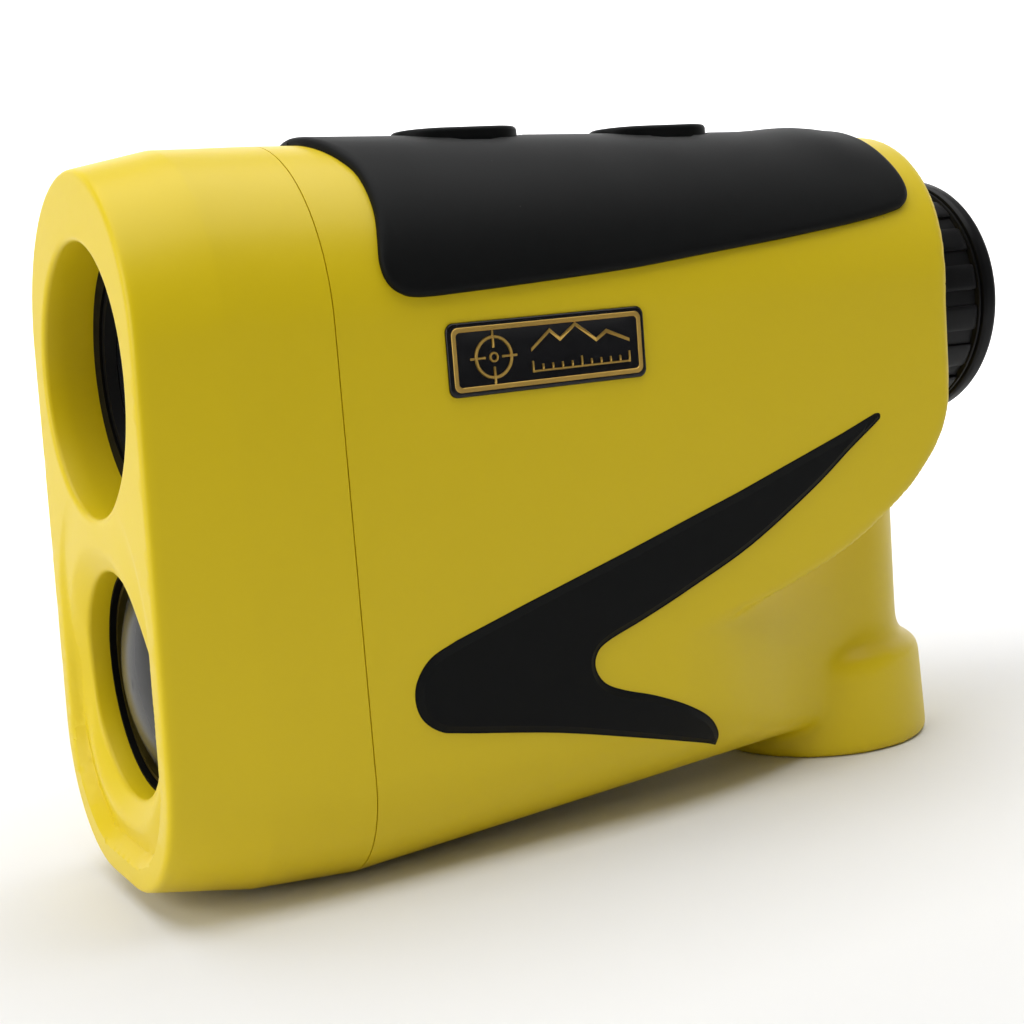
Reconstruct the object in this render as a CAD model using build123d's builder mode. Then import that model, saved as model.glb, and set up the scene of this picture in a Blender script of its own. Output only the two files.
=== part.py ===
"""Handheld laser rangefinder: housing, optics, eyepiece, controls, electronics and battery.

Frame: millimetres, +Z up, -Y is the way the instrument looks, +X is its left side.
The origin is under the middle of the overall box, on the surface the instrument stands on.
"""
import os
from math import cos, radians, sin

from build123d import *

os.makedirs("parts", exist_ok=True)

# ---------------------------------------------------------------- overall sizes
body_half_width = 18.5
seam_station = 21.4
rear_station = 103.0
eyepiece_reach = 8.8
overall_length = rear_station + eyepiece_reach
top_at_seam = 76.2
top_at_rear = 74.4
floor_at_seam = 0.0
floor_at_rear = 4.6
keel_corner = 12.0
wall = 1.8
grip_wall = 1.2

# ---------------------------------------------------------------- front bezel
face_half_width = 17.5
face_top = 74.1
face_corner = 11.5
face_lean = 1.5
panel_margin = 2.3
panel_slope = 2.4
crease_station = 10.4
crease_half_width = 18.2
bezel_floor = 7.0
spigot_length = 3.0
spigot_wall = 1.6

# ---------------------------------------------------------------- optical axes
sight_height = 53.8
receiver_height = 22.4
barrel_radius = 13.0
barrel_bore = barrel_radius - 1.2
barrel_flange = barrel_radius + 1.3
objective_bore_radius = barrel_radius + 0.85
receiver_bore_radius = 11.8
receiver_dish_radius = 14.1

# ---------------------------------------------------------------- grip and battery
grip_station = rear_station - 11.0
grip_shoulder_height = 11.5
grip_waist_height = 16.0
web_start_station = 60.0
battery_radius = 7.8
liner_radius = battery_radius + 1.4
thread_radius = liner_radius + 0.8
cap_radius = thread_radius + 1.5
grip_waist_radius = liner_radius + 0.1 + grip_wall
grip_shoulder_radius = cap_radius + 1.4
grip_foot_radius = cap_radius + 1.9
battery_length = 27.0
battery_base = 4.2
cap_thickness = 2.0
cap_inset = 0.4
thread_top = 8.0

# ---------------------------------------------------------------- controls
button_length = 14.7
button_width = 8.5
button_stations = (45.8, 71.5)
button_proud = 0.65
button_travel = 0.6
pad_proud = 0.9
pad_end = rear_station - 5.4
trim_proud = 0.5

# ---------------------------------------------------------------- eyepiece
eyecup_radius = 14.9
fluted_radius = 14.5
eyecup_length = 3.1
ring_gap = 0.35
ocular_tube_radius = 12.0
ocular_tube_bore = 10.9
ocular_flange_radius = 12.8
ocular_cell_radius = 10.6
ocular_travel = 1.5
tube_start = rear_station - 19.0
cell_start = rear_station - 15.0

# ---------------------------------------------------------------- clearances
slide_gap = 0.3
seat_gap = 0.1

# ---------------------------------------------------------------- badge
plate_station = 44.9
plate_height = 53.0
plate_length = 23.6
plate_width = 7.5

# ---------------------------------------------------------------- fasteners and inner layout
chassis_station = 24.6
chassis_thickness = 2.0
receiver_neck_radius = 8.0
prism_start = 40.0
prism_end = 66.0
rail_offset = 14.1
rail_thickness = 1.6
rail_height = 47.0
ear_width = 1.25
laser_station = 52.0
cup_start = overall_length - eyecup_length
flute_count = 18
board_base = 65.2
board_thickness = 1.2
switch_height = 3.2
plunger_radius = 1.7
liner_top = 34.2
web_height = 48.0
boss_radius = 2.6
screw_radius = 1.0
screw_head_radius = 1.9
screw_head_height = 1.4
screw_reach = 9.5
boss_places = ((33.0, 20.2), (57.5, 28.6), (76.0, 35.2), (33.0, 70.3), (90.0, 69.4))
screw_seats = (
    (33.0, 20.2, 14.0),
    (57.5, 28.6, 14.0),
    (76.0, 35.2, 14.0),
    (33.0, 70.3, 8.5),
    (90.0, 69.4, 8.5),
)
post_places = ((12.4, 38.1), (-12.4, 38.1), (0, 5.2), (0, 70.6))
flange_lip = 0.5
pocket_depth = 2.5


def y_at(station):
    """Distance along Y of a point measured back from the foremost point."""
    return station - overall_length / 2


def cross_plane(station):
    """Upright plane across the body; its local axes are X and Z."""
    return Plane.XZ.offset(overall_length / 2 - station)


def body_top(station):
    """Height of the painted roof."""
    run = (station - seam_station) / (rear_station - seam_station)
    return top_at_seam + (top_at_rear - top_at_seam) * run


def body_floor(station):
    """Height of the painted underside."""
    run = (station - seam_station) / (rear_station - seam_station)
    return floor_at_seam + (floor_at_rear - floor_at_seam) * run


def section(station, half_width, top, bottom, corner):
    """Body cross-section: half-round roof, flat sides, rounded keel."""
    with BuildSketch(cross_plane(station)) as outline:
        with BuildLine():
            Line((corner - half_width, bottom), (half_width - corner, bottom))
            JernArc((half_width - corner, bottom), (1, 0), corner, 90)
            Line((half_width, bottom + corner), (half_width, top - half_width))
            JernArc((half_width, top - half_width), (0, 1), half_width, 180)
            Line((-half_width, top - half_width), (-half_width, bottom + corner))
            JernArc((-half_width, bottom + corner), (0, -1), corner, 90)
        make_face()
    return outline.sketch


def body_section(station, grow):
    """Body cross-section at a station, grown outward by a distance."""
    return section(
        station,
        body_half_width + grow,
        body_top(station) + grow,
        body_floor(station) - grow,
        keel_corner + grow,
    )


def side_profile(inset):
    """Side view of the body above the grip, drawn inside its outline by a distance."""
    lip = web_start_station + 2
    with BuildSketch(Plane.YZ) as outline:
        with BuildLine():
            Polyline((y_at(0), 100), (y_at(0), -20), (y_at(lip), -20), (y_at(lip), 20.6 + inset))
            Spline(
                (y_at(lip), 20.6 + inset),
                (y_at(grip_station - 15.0), 24.2 + inset),
                (y_at(grip_station - 2.5), 29.8 + inset),
                tangents=((1, 0.06), (1, 0.62)),
            )
            ThreePointArc(
                (y_at(grip_station - 2.5), 29.8 + inset),
                (y_at(rear_station - 3.4 - inset * 0.7), 37.2 + inset * 0.7),
                (y_at(rear_station - inset), 46.0),
            )
            Polyline(
                (y_at(rear_station - inset), 46.0),
                (y_at(rear_station - inset), 100),
                (y_at(0), 100),
            )
        make_face()
    return outline.sketch


def web_plan(inset):
    """Plan view of the neck that narrows from the body into the grip."""
    side = body_half_width - inset
    middle = 13.6 - inset
    waist = grip_waist_radius - inset
    with BuildSketch(Plane.XY) as outline:
        with BuildLine():
            Line((side, y_at(web_start_station)), (-side, y_at(web_start_station)))
            Spline(
                (-side, y_at(web_start_station)),
                (-middle, y_at(grip_station - 15.0)),
                (-waist, y_at(grip_station)),
                tangents=((0, 1), (0, 1)),
            )
            JernArc((-waist, y_at(grip_station)), (0, 1), waist, -180)
            Spline(
                (waist, y_at(grip_station)),
                (middle, y_at(grip_station - 15.0)),
                (side, y_at(web_start_station)),
                tangents=((0, -1), (0, -1)),
            )
        make_face()
    return outline.sketch


def turned(axis_height, outline):
    """Half outline of a round piece as (station, radius) pairs, on the plane X = 0."""
    points = []
    for station, radius in outline:
        points.append((y_at(station), axis_height + radius))
    with BuildSketch(Plane.YZ) as half:
        with BuildLine():
            Polyline(*points, close=True)
        make_face()
    return half.sketch


def sag_at(radius, sag, part_radius):
    """Depth of a spherical surface at part of its radius, given the depth at its rim."""
    if sag == 0:
        return 0
    sphere = (radius**2 + sag**2) / (2 * sag)
    return sphere - (1 if sag > 0 else -1) * (sphere**2 - part_radius**2) ** 0.5


def lens_half(axis_height, radius, front_edge, front_apex, back_edge, back_apex):
    """Half outline of a lens from the stations of its edges and centres."""
    rim = axis_height + radius
    part = radius * 0.6
    front_mid = front_apex + sag_at(radius, front_edge - front_apex, part)
    back_mid = back_apex + sag_at(radius, back_edge - back_apex, part)
    with BuildSketch(Plane.YZ) as half:
        with BuildLine():
            Line((y_at(front_edge), rim), (y_at(back_edge), rim))
            ThreePointArc(
                (y_at(back_edge), rim),
                (y_at(back_mid), axis_height + part),
                (y_at(back_apex), axis_height),
            )
            Line((y_at(back_apex), axis_height), (y_at(front_apex), axis_height))
            ThreePointArc(
                (y_at(front_apex), axis_height),
                (y_at(front_mid), axis_height + part),
                (y_at(front_edge), rim),
            )
        make_face()
    return half.sketch


sight_axis = Axis((0, 0, sight_height), (0, 1, 0))
receiver_axis = Axis((0, 0, receiver_height), (0, 1, 0))
grip_axis = Axis((0, y_at(grip_station), 0), (0, 0, 1))
face_plane = Plane(
    origin=(0, y_at(1.0), 38.2),
    x_dir=(1, 0, 0),
    z_dir=(0, -cos(radians(face_lean)), sin(radians(face_lean))),
)

# ================================================================ housing, before it is split
with BuildPart() as envelope:
    loft(sections=[body_section(seam_station, 0), body_section(116, 0)], ruled=True)

with BuildPart() as upper_body:
    loft(sections=[body_section(seam_station, 0), body_section(rear_station, 0)], ruled=True)
    extrude(side_profile(0), amount=40, both=True, mode=Mode.INTERSECT)
    rear_edges = upper_body.edges().filter_by(lambda edge: edge.center().Y > y_at(rear_station - 0.5))
    fillet(rear_edges.filter_by(lambda edge: abs(edge.center().X) > 2 or edge.center().Z > 60), radius=3)

with BuildPart() as grip_web:
    extrude(web_plan(0), amount=web_height)
    add(envelope.part, mode=Mode.INTERSECT)

with BuildPart() as grip_foot:
    with BuildSketch(Plane.XZ.offset(-y_at(grip_station))):
        with BuildLine():
            Polyline(
                (0, 0),
                (grip_foot_radius - 0.6, 0),
                (grip_foot_radius, 0.6),
                (grip_shoulder_radius, grip_shoulder_height - 1.2),
            )
            ThreePointArc(
                (grip_shoulder_radius, grip_shoulder_height - 1.2),
                (grip_shoulder_radius - 0.35, grip_shoulder_height - 0.1),
                (grip_shoulder_radius - 1.2, grip_shoulder_height + 0.7),
            )
            Polyline(
                (grip_shoulder_radius - 1.2, grip_shoulder_height + 0.7),
                (grip_waist_radius, grip_waist_height),
                (grip_waist_radius, 30),
                (0, 30),
                (0, 0),
            )
        make_face()
    revolve(axis=grip_axis)

with BuildPart() as cavity:
    loft(
        sections=[body_section(seam_station - 1, -wall), body_section(rear_station - wall, -wall)],
        ruled=True,
    )
    extrude(side_profile(wall), amount=40, both=True, mode=Mode.INTERSECT)

with BuildPart() as grip_cavity:
    with BuildSketch(Plane.XY.offset(grip_shoulder_height)):
        add(web_plan(grip_wall))
    extrude(amount=web_height - wall - grip_shoulder_height)

with BuildPart() as bosses:
    with BuildSketch(Plane.YZ):
        for station, height in boss_places:
            with Locations((y_at(station), height)):
                Circle(boss_radius)
    extrude(amount=body_half_width, both=True)
    add(upper_body.part, mode=Mode.INTERSECT)

with BuildPart() as housing:
    add(upper_body.part)
    add(grip_web.part)
    add(grip_foot.part)
    add(cavity.part, mode=Mode.SUBTRACT)
    add(grip_cavity.part, mode=Mode.SUBTRACT)
    add(bosses.part)
    # Screw holes: tapped in the left half, plain and sunk in the right half.
    for station, height, seat in screw_seats:
        with BuildSketch(Plane.YZ.offset(-seat)):
            with Locations((y_at(station), height)):
                Circle(screw_radius)
        extrude(amount=seat + screw_reach, mode=Mode.SUBTRACT)
        with BuildSketch(Plane.YZ.offset(-seat)):
            with Locations((y_at(station), height)):
                Circle(screw_head_radius + 0.25)
        extrude(amount=-20, mode=Mode.SUBTRACT)
    # Openings and flange pockets for the two buttons.
    for station in button_stations:
        with BuildSketch(Plane.XY.offset(62)):
            with Locations((0, y_at(station))):
                SlotOverall(button_length + 2 * slide_gap, button_width + 2 * slide_gap, rotation=90)
        extrude(amount=30, mode=Mode.SUBTRACT)
        with BuildSketch(Plane.XY.offset(62)):
            with Locations((0, y_at(station))):
                SlotOverall(
                    button_length + 2 * (flange_lip + 0.4),
                    button_width + 2 * (flange_lip + 0.4),
                    rotation=90,
                )
        extrude(amount=body_top(station) - pocket_depth - 62, mode=Mode.SUBTRACT)
    # Opening for the ocular tube.
    with BuildSketch(cross_plane(rear_station - 6)):
        with Locations((0, sight_height)):
            Circle(ocular_tube_radius + seat_gap)
    extrude(amount=-12, mode=Mode.SUBTRACT)
    with BuildSketch(cross_plane(rear_station - wall)):
        with Locations((0, sight_height)):
            Circle(ocular_flange_radius + seat_gap)
    extrude(amount=1.4, mode=Mode.SUBTRACT)
    # Battery well: cap recess, threaded throat and passage for the liner.
    with BuildSketch(Plane.XY):
        with Locations((0, y_at(grip_station))):
            Circle(cap_radius + slide_gap)
    extrude(amount=cap_inset + cap_thickness, mode=Mode.SUBTRACT)
    with BuildSketch(Plane.XY):
        with Locations((0, y_at(grip_station))):
            Circle(thread_radius)
    extrude(amount=thread_top, mode=Mode.SUBTRACT)
    with BuildSketch(Plane.XY):
        with Locations((0, y_at(grip_station))):
            Circle(liner_radius + seat_gap)
    extrude(amount=grip_shoulder_height + 2, mode=Mode.SUBTRACT)

with BuildPart() as left_shell:
    add(housing.part)
    split(bisect_by=Plane.YZ, keep=Keep.TOP)
left_shell.part.label = "left_shell"
export_step(left_shell.part, "parts/left_shell.step")

with BuildPart() as right_shell:
    add(housing.part)
    split(bisect_by=Plane.YZ, keep=Keep.BOTTOM)
right_shell.part.label = "right_shell"
export_step(right_shell.part, "parts/right_shell.step")

# ================================================================ front bezel
panel_plane = Plane(
    origin=(0, y_at(1.0), 40.0),
    x_dir=(1, 0, 0),
    z_dir=(0, -cos(radians(face_lean - panel_slope)), sin(radians(face_lean - panel_slope))),
)

with BuildPart() as face_panel:
    extrude(section(-3, face_half_width - panel_margin, 44.0, panel_margin + 0.4, 9.2), amount=-8)
    split(bisect_by=panel_plane, keep=Keep.TOP)

with BuildPart() as front_bezel:
    loft(
        sections=[
            section(-0.6, face_half_width, face_top, 0.4, face_corner),
            section(crease_station, crease_half_width, top_at_seam, 0, keel_corner),
        ],
        ruled=True,
    )
    loft(
        sections=[
            section(crease_station, crease_half_width, top_at_seam, 0, keel_corner),
            body_section(seam_station, 0),
        ],
        ruled=True,
    )
    split(bisect_by=face_plane, keep=Keep.BOTTOM)
    fillet(front_bezel.faces().sort_by(Axis.Y)[0].outer_wire().edges(), radius=0.6)
    # Hollow behind the face.
    hollow = section(bezel_floor, crease_half_width - wall, face_top - wall, wall, keel_corner - wall)
    extrude(hollow, amount=bezel_floor - seam_station, mode=Mode.SUBTRACT)
    # Spigot that the two shells close around.
    spigot_end = seam_station + spigot_length
    spigot_inset = wall + seat_gap
    extrude(body_section(seam_station, -1.0), amount=4)
    loft(
        sections=[
            body_section(seam_station, -spigot_inset),
            body_section(spigot_end, -spigot_inset),
        ],
        ruled=True,
    )
    throat = body_section(spigot_end, -spigot_inset - spigot_wall)
    extrude(throat, amount=spigot_length + 5, mode=Mode.SUBTRACT)
    # Posts for the chassis screws.
    with BuildSketch(cross_plane(bezel_floor - 1)):
        for across, height in post_places:
            with Locations((across, height)):
                Circle(2.4)
    extrude(amount=bezel_floor - 1 - seam_station - spigot_length)
    with BuildSketch(cross_plane(seam_station + spigot_length)):
        for across, height in post_places:
            with Locations((across, height)):
                Circle(screw_radius)
    extrude(amount=9, mode=Mode.SUBTRACT)
    # Sighting bore.
    with BuildSketch(cross_plane(-1)):
        with Locations((0, sight_height)):
            Circle(objective_bore_radius)
    extrude(amount=-bezel_floor - 1, mode=Mode.SUBTRACT)
    # Shallow panel around the receiver, deepest at the bottom.
    add(face_panel.part, mode=Mode.SUBTRACT)
    # Receiver bore, dished at the mouth and counterbored from behind.
    mouth = turned(
        receiver_height,
        (
            (-2, 0),
            (-2, receiver_dish_radius + 1.4),
            (0.2, receiver_dish_radius + 0.3),
            (1.4, receiver_bore_radius + 0.8),
            (2.5, receiver_bore_radius),
            (4.6, receiver_bore_radius),
            (4.6, 14.2),
            (bezel_floor + 1, 14.2),
            (bezel_floor + 1, 0),
        ),
    )
    revolve(mouth, axis=receiver_axis, mode=Mode.SUBTRACT)
front_bezel.part.label = "front_bezel"
export_step(front_bezel.part, "parts/front_bezel.step")
# ================================================================ rubber trim and badge
with BuildPart() as top_pad:
    loft(
        sections=[body_section(seam_station, pad_proud), body_section(rear_station, pad_proud)],
        ruled=True,
    )
    with BuildSketch(Plane.YZ) as pad_view:
        with BuildLine():
            Polyline((y_at(pad_end), 90), (y_at(28.2), 90), (y_at(28.6), 72.0), (y_at(27.4), 65.4))
            Spline(
                (y_at(27.4), 65.4),
                (y_at(27.0), 63.0),
                (y_at(27.6), 61.0),
                (y_at(30.6), 59.5),
                tangents=((-0.25, -1), (1, -0.1)),
            )
            Spline(
                (y_at(30.6), 59.5),
                (y_at(52.0), 60.2),
                (y_at(pad_end - 3.0), 64.8),
                tangents=((1, -0.02), (1, 0.16)),
            )
            ThreePointArc((y_at(pad_end - 3.0), 64.8), (y_at(pad_end - 0.8), 66.0), (y_at(pad_end), 68.2))
            Line((y_at(pad_end), 68.2), (y_at(pad_end), 90))
        make_face()
    extrude(amount=40, both=True, mode=Mode.INTERSECT)
    with BuildSketch(cross_plane(seam_station - 1)) as front_end:
        add(body_section(seam_station - 1, 0))
    with BuildSketch(cross_plane(rear_station + 1)) as back_end:
        add(body_section(rear_station + 1, 0))
    loft(sections=[front_end.sketch, back_end.sketch], ruled=True, mode=Mode.SUBTRACT)
    for station in button_stations:
        with BuildSketch(Plane.XY.offset(62)):
            with Locations((0, y_at(station))):
                SlotOverall(button_length + 2 * slide_gap, button_width + 2 * slide_gap, rotation=90)
        extrude(amount=30, mode=Mode.SUBTRACT)
top_pad.part.label = "top_pad"
export_step(top_pad.part, "parts/top_pad.step")

with BuildSketch(Plane.YZ) as trim_view:
    with BuildLine():
        Line((y_at(88.6), 41.7), (y_at(67.9), 35.3))
        Line((y_at(67.9), 35.3), (y_at(29.8), 24.5))
        ThreePointArc((y_at(29.8), 24.5), (y_at(26.4), 20.2), (y_at(29.0), 15.8))
        Spline(
            (y_at(29.0), 15.8),
            (y_at(42.8), 12.8),
            (y_at(64.8), 6.6),
            tangents=((1, -0.2), (1, -0.3)),
        )
        Spline(
            (y_at(64.8), 6.6),
            (y_at(62.2), 10.9),
            (y_at(49.8), 16.8),
            tangents=((-0.3, 1), (-1, 0.35)),
        )
        ThreePointArc((y_at(49.8), 16.8), (y_at(47.9), 19.2), (y_at(49.6), 21.5))
        Spline(
            (y_at(49.6), 21.5),
            (y_at(69.2), 28.8),
            (y_at(88.6), 41.7),
            tangents=((1, 0.36), (0.75, 0.66)),
        )
    make_face()

with BuildPart() as left_trim:
    loft(
        sections=[body_section(seam_station, trim_proud), body_section(rear_station, trim_proud)],
        ruled=True,
    )
    extrude(trim_view.sketch, amount=40, mode=Mode.INTERSECT)
    add(upper_body.part, mode=Mode.SUBTRACT)
    add(grip_web.part, mode=Mode.SUBTRACT)
left_trim.part.label = "left_trim"
export_step(left_trim.part, "parts/left_trim.step")

with BuildPart() as right_trim:
    loft(
        sections=[body_section(seam_station, trim_proud), body_section(rear_station, trim_proud)],
        ruled=True,
    )
    extrude(trim_view.sketch, amount=-40, mode=Mode.INTERSECT)
    add(upper_body.part, mode=Mode.SUBTRACT)
    add(grip_web.part, mode=Mode.SUBTRACT)
right_trim.part.label = "right_trim"
export_step(right_trim.part, "parts/right_trim.step")

with BuildPart() as nameplate:
    with BuildSketch(Plane.YZ.offset(body_half_width)):
        with Locations((y_at(plate_station), plate_height)):
            RectangleRounded(plate_length, plate_width, 1.0)
    extrude(amount=trim_proud)
    with BuildSketch(Plane.YZ.offset(body_half_width + trim_proud)):
        with Locations((y_at(plate_station), plate_height)):
            RectangleRounded(plate_length - 1.4, plate_width - 1.4, 0.6)
    extrude(amount=-0.2, mode=Mode.SUBTRACT)
nameplate.part.label = "nameplate"
export_step(nameplate.part, "parts/nameplate.step")

# ================================================================ chassis and fasteners
chassis_end = chassis_station + chassis_thickness

with BuildPart() as chassis:
    extrude(body_section(chassis_end, -wall - seat_gap), amount=chassis_thickness)
    with BuildSketch(cross_plane(chassis_end)):
        with Locations((0, sight_height)):
            Circle(barrel_radius + seat_gap)
        with Locations((0, receiver_height)):
            Circle(receiver_neck_radius + seat_gap)
        for across, height in post_places:
            with Locations((across, height)):
                Circle(screw_radius)
    extrude(amount=chassis_thickness, mode=Mode.SUBTRACT)
    # Side rails that carry the prism housing.
    with BuildSketch(cross_plane(chassis_end)):
        for side in (-1, 1):
            with Locations((side * rail_offset, rail_height)):
                Rectangle(rail_thickness, 6.0)
    extrude(amount=chassis_end - prism_end)
chassis.part.label = "chassis"
export_step(chassis.part, "parts/chassis.step")

with BuildPart() as chassis_screws:
    for across, height in post_places:
        with BuildSketch(cross_plane(chassis_end)):
            with Locations((across, height)):
                Circle(screw_head_radius)
        extrude(amount=-screw_head_height)
        with BuildSketch(cross_plane(chassis_end)):
            with Locations((across, height)):
                Circle(screw_radius)
        extrude(amount=9.0)
        with BuildSketch(cross_plane(chassis_end + screw_head_height)):
            with Locations((across, height)):
                Rectangle(2.4, 0.5)
                Rectangle(0.5, 2.4)
        extrude(amount=0.6, mode=Mode.SUBTRACT)
chassis_screws.part.label = "chassis_screws"
export_step(chassis_screws.part, "parts/chassis_screws.step")

with BuildPart() as shell_screws:
    for station, height, seat in screw_seats:
        with BuildSketch(Plane.YZ.offset(-seat)):
            with Locations((y_at(station), height)):
                Circle(screw_head_radius)
        extrude(amount=-screw_head_height)
        with BuildSketch(Plane.YZ.offset(-seat)):
            with Locations((y_at(station), height)):
                Circle(screw_radius)
        extrude(amount=seat + screw_reach - 0.5)
        with BuildSketch(Plane.YZ.offset(-seat - screw_head_height)):
            with Locations((y_at(station), height)):
                Rectangle(2.4, 0.5)
                Rectangle(0.5, 2.4)
        extrude(amount=0.6, mode=Mode.SUBTRACT)
shell_screws.part.label = "shell_screws"
export_step(shell_screws.part, "parts/shell_screws.step")

# ================================================================ sighting optics
with BuildPart() as objective_barrel:
    add(
        turned(
            sight_height,
            (
                (bezel_floor, barrel_bore),
                (bezel_floor, barrel_flange),
                (bezel_floor + 1.5, barrel_flange),
                (bezel_floor + 1.5, barrel_radius),
                (34.0, barrel_radius),
                (34.0, barrel_bore - 2.3),
                (16.0, barrel_bore - 1.2),
                (14.8, barrel_bore - 1.2),
                (14.8, barrel_bore),
            ),
        )
    )
    revolve(axis=sight_axis)
objective_barrel.part.label = "objective_barrel"
export_step(objective_barrel.part, "parts/objective_barrel.step")

with BuildPart() as objective_ring:
    add(
        turned(
            sight_height,
            (
                (7.3, barrel_bore - 0.9),
                (7.3, barrel_bore),
                (8.75, barrel_bore),
                (8.4, barrel_bore - 1.4),
            ),
        )
    )
    revolve(axis=sight_axis)
objective_ring.part.label = "objective_ring"
export_step(objective_ring.part, "parts/objective_ring.step")

with BuildPart() as objective_lens:
    add(lens_half(sight_height, barrel_bore - 0.05, 8.8, 7.2, 11.2, 12.4))
    revolve(axis=sight_axis)
objective_lens.part.label = "objective_lens"
export_step(objective_lens.part, "parts/objective_lens.step")

with BuildPart() as objective_flint:
    add(lens_half(sight_height, barrel_bore - 0.05, 11.2, 12.4, 14.8, 14.3))
    revolve(axis=sight_axis)
objective_flint.part.label = "objective_flint"
export_step(objective_flint.part, "parts/objective_flint.step")

with BuildPart() as prism_housing:
    with BuildSketch(cross_plane(prism_start)):
        with Locations((0, sight_height)):
            Rectangle(24, 20)
    extrude(amount=prism_start - prism_end)
    with BuildSketch(cross_plane(prism_start + 2)):
        with Locations((0, sight_height + 1)):
            Rectangle(20, 18)
    extrude(amount=prism_start - prism_end + 4, mode=Mode.SUBTRACT)
    with BuildSketch(cross_plane(prism_start)):
        with Locations((0, sight_height)):
            Circle(8.0)
    extrude(amount=prism_start - prism_end, mode=Mode.SUBTRACT)
    # Ears that rest between the chassis rails.
    with BuildSketch(cross_plane(prism_start + 4)):
        for side in (-1, 1):
            with Locations((side * (12 + ear_width / 2), rail_height)):
                Rectangle(ear_width, 4.0)
    extrude(amount=-14)
    # Opening above the laser.
    with BuildSketch(Plane.XY.offset(sight_height - 11)):
        with Locations((0, y_at(laser_station))):
            Circle(2.0)
    extrude(amount=4, mode=Mode.SUBTRACT)
prism_housing.part.label = "prism_housing"
export_step(prism_housing.part, "parts/prism_housing.step")

with BuildPart() as prism_cover:
    with BuildSketch(Plane.XY.offset(sight_height + 10)):
        with Locations((0, y_at((prism_start + prism_end) / 2))):
            Rectangle(24, prism_end - prism_start)
    extrude(amount=0.8)
prism_cover.part.label = "prism_cover"
export_step(prism_cover.part, "parts/prism_cover.step")

with BuildPart() as half_prism:
    with BuildSketch(Plane.YZ):
        with BuildLine():
            Polyline(
                (y_at(42.2), 46.0),
                (y_at(42.2), 62.0),
                (y_at(46.5), 62.0),
                (y_at(53.6), 46.0),
                close=True,
            )
        make_face()
    extrude(amount=8.5, both=True)
half_prism.part.label = "half_prism"
export_step(half_prism.part, "parts/half_prism.step")

with BuildPart() as roof_prism:
    with BuildSketch(Plane.YZ):
        with BuildLine():
            Polyline(
                (y_at(47.2), 62.0),
                (y_at(63.8), 62.0),
                (y_at(63.8), 50.0),
                (y_at(60.4), 46.0),
                (y_at(54.3), 46.0),
                close=True,
            )
        make_face()
    extrude(amount=8.5, both=True)
roof_prism.part.label = "roof_prism"
export_step(roof_prism.part, "parts/roof_prism.step")

with BuildPart() as display_frame:
    with BuildSketch(cross_plane(prism_end)):
        with Locations((0, sight_height)):
            Rectangle(24, 20)
            Rectangle(15, 12, mode=Mode.SUBTRACT)
    extrude(amount=-4)
    with BuildSketch(cross_plane(prism_end + 4)):
        with Locations((0, sight_height)):
            Rectangle(19, 15.5)
    extrude(amount=1.4, mode=Mode.SUBTRACT)
display_frame.part.label = "display_frame"
export_step(display_frame.part, "parts/display_frame.step")

with BuildPart() as display_cell:
    with BuildSketch(cross_plane(prism_end + 2.6)):
        with Locations((0, sight_height)):
            Rectangle(18.8, 15.3)
    extrude(amount=-1.2)
display_cell.part.label = "display_cell"
export_step(display_cell.part, "parts/display_cell.step")

# ================================================================ laser and receiver
with BuildPart() as laser_mount:
    with BuildSketch(Plane.XY.offset(sight_height - 10)):
        with Locations((0, y_at(laser_station))):
            Rectangle(10, 9)
            Circle(3.0, mode=Mode.SUBTRACT)
    extrude(amount=-5.5)
laser_mount.part.label = "laser_mount"
export_step(laser_mount.part, "parts/laser_mount.step")

with BuildPart() as laser_diode:
    with BuildSketch(Plane.XY.offset(sight_height - 15)):
        with Locations((0, y_at(laser_station))):
            Circle(2.95)
    extrude(amount=1.2)
    with BuildSketch(Plane.XY.offset(sight_height - 15)):
        with Locations((0, y_at(laser_station))):
            Circle(2.2)
    extrude(amount=4.0)
    with BuildSketch(Plane.XY.offset(sight_height - 15)):
        with Locations((0, y_at(laser_station))):
            with PolarLocations(1.1, 3):
                Circle(0.25)
    extrude(amount=-1.6)
laser_diode.part.label = "laser_diode"
export_step(laser_diode.part, "parts/laser_diode.step")

with BuildPart() as receiver_barrel:
    add(
        turned(
            receiver_height,
            (
                (4.6, 11.5),
                (4.6, 14.0),
                (6.1, 14.0),
                (6.1, 12.6),
                (14.0, 12.6),
                (23.6, receiver_neck_radius),
                (27.8, receiver_neck_radius),
                (27.8, 4.3),
                (24.2, 4.3),
                (24.2, 5.0),
                (20.6, 5.0),
                (10.2, 9.6),
                (8.7, 9.6),
                (8.7, 11.5),
            ),
        )
    )
    revolve(axis=receiver_axis)
receiver_barrel.part.label = "receiver_barrel"
export_step(receiver_barrel.part, "parts/receiver_barrel.step")

with BuildPart() as receiver_lens:
    add(lens_half(receiver_height, 10.7, 6.0, 3.2, 8.7, 8.7 - 0.2))
    revolve(axis=receiver_axis)
receiver_lens.part.label = "receiver_lens"
export_step(receiver_lens.part, "parts/receiver_lens.step")

with BuildPart() as receiver_ring:
    add(
        turned(
            receiver_height,
            (
                (5.2, 10.75),
                (5.2, 11.2),
                (5.7, 11.45),
                (8.7, 11.45),
                (8.7, 10.75),
            ),
        )
    )
    revolve(axis=receiver_axis)
receiver_ring.part.label = "receiver_ring"
export_step(receiver_ring.part, "parts/receiver_ring.step")

with BuildPart() as bandpass_filter:
    with BuildSketch(cross_plane(22.8)):
        with Locations((0, receiver_height)):
            Circle(4.95)
    extrude(amount=-1.2)
bandpass_filter.part.label = "bandpass_filter"
export_step(bandpass_filter.part, "parts/bandpass_filter.step")

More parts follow.
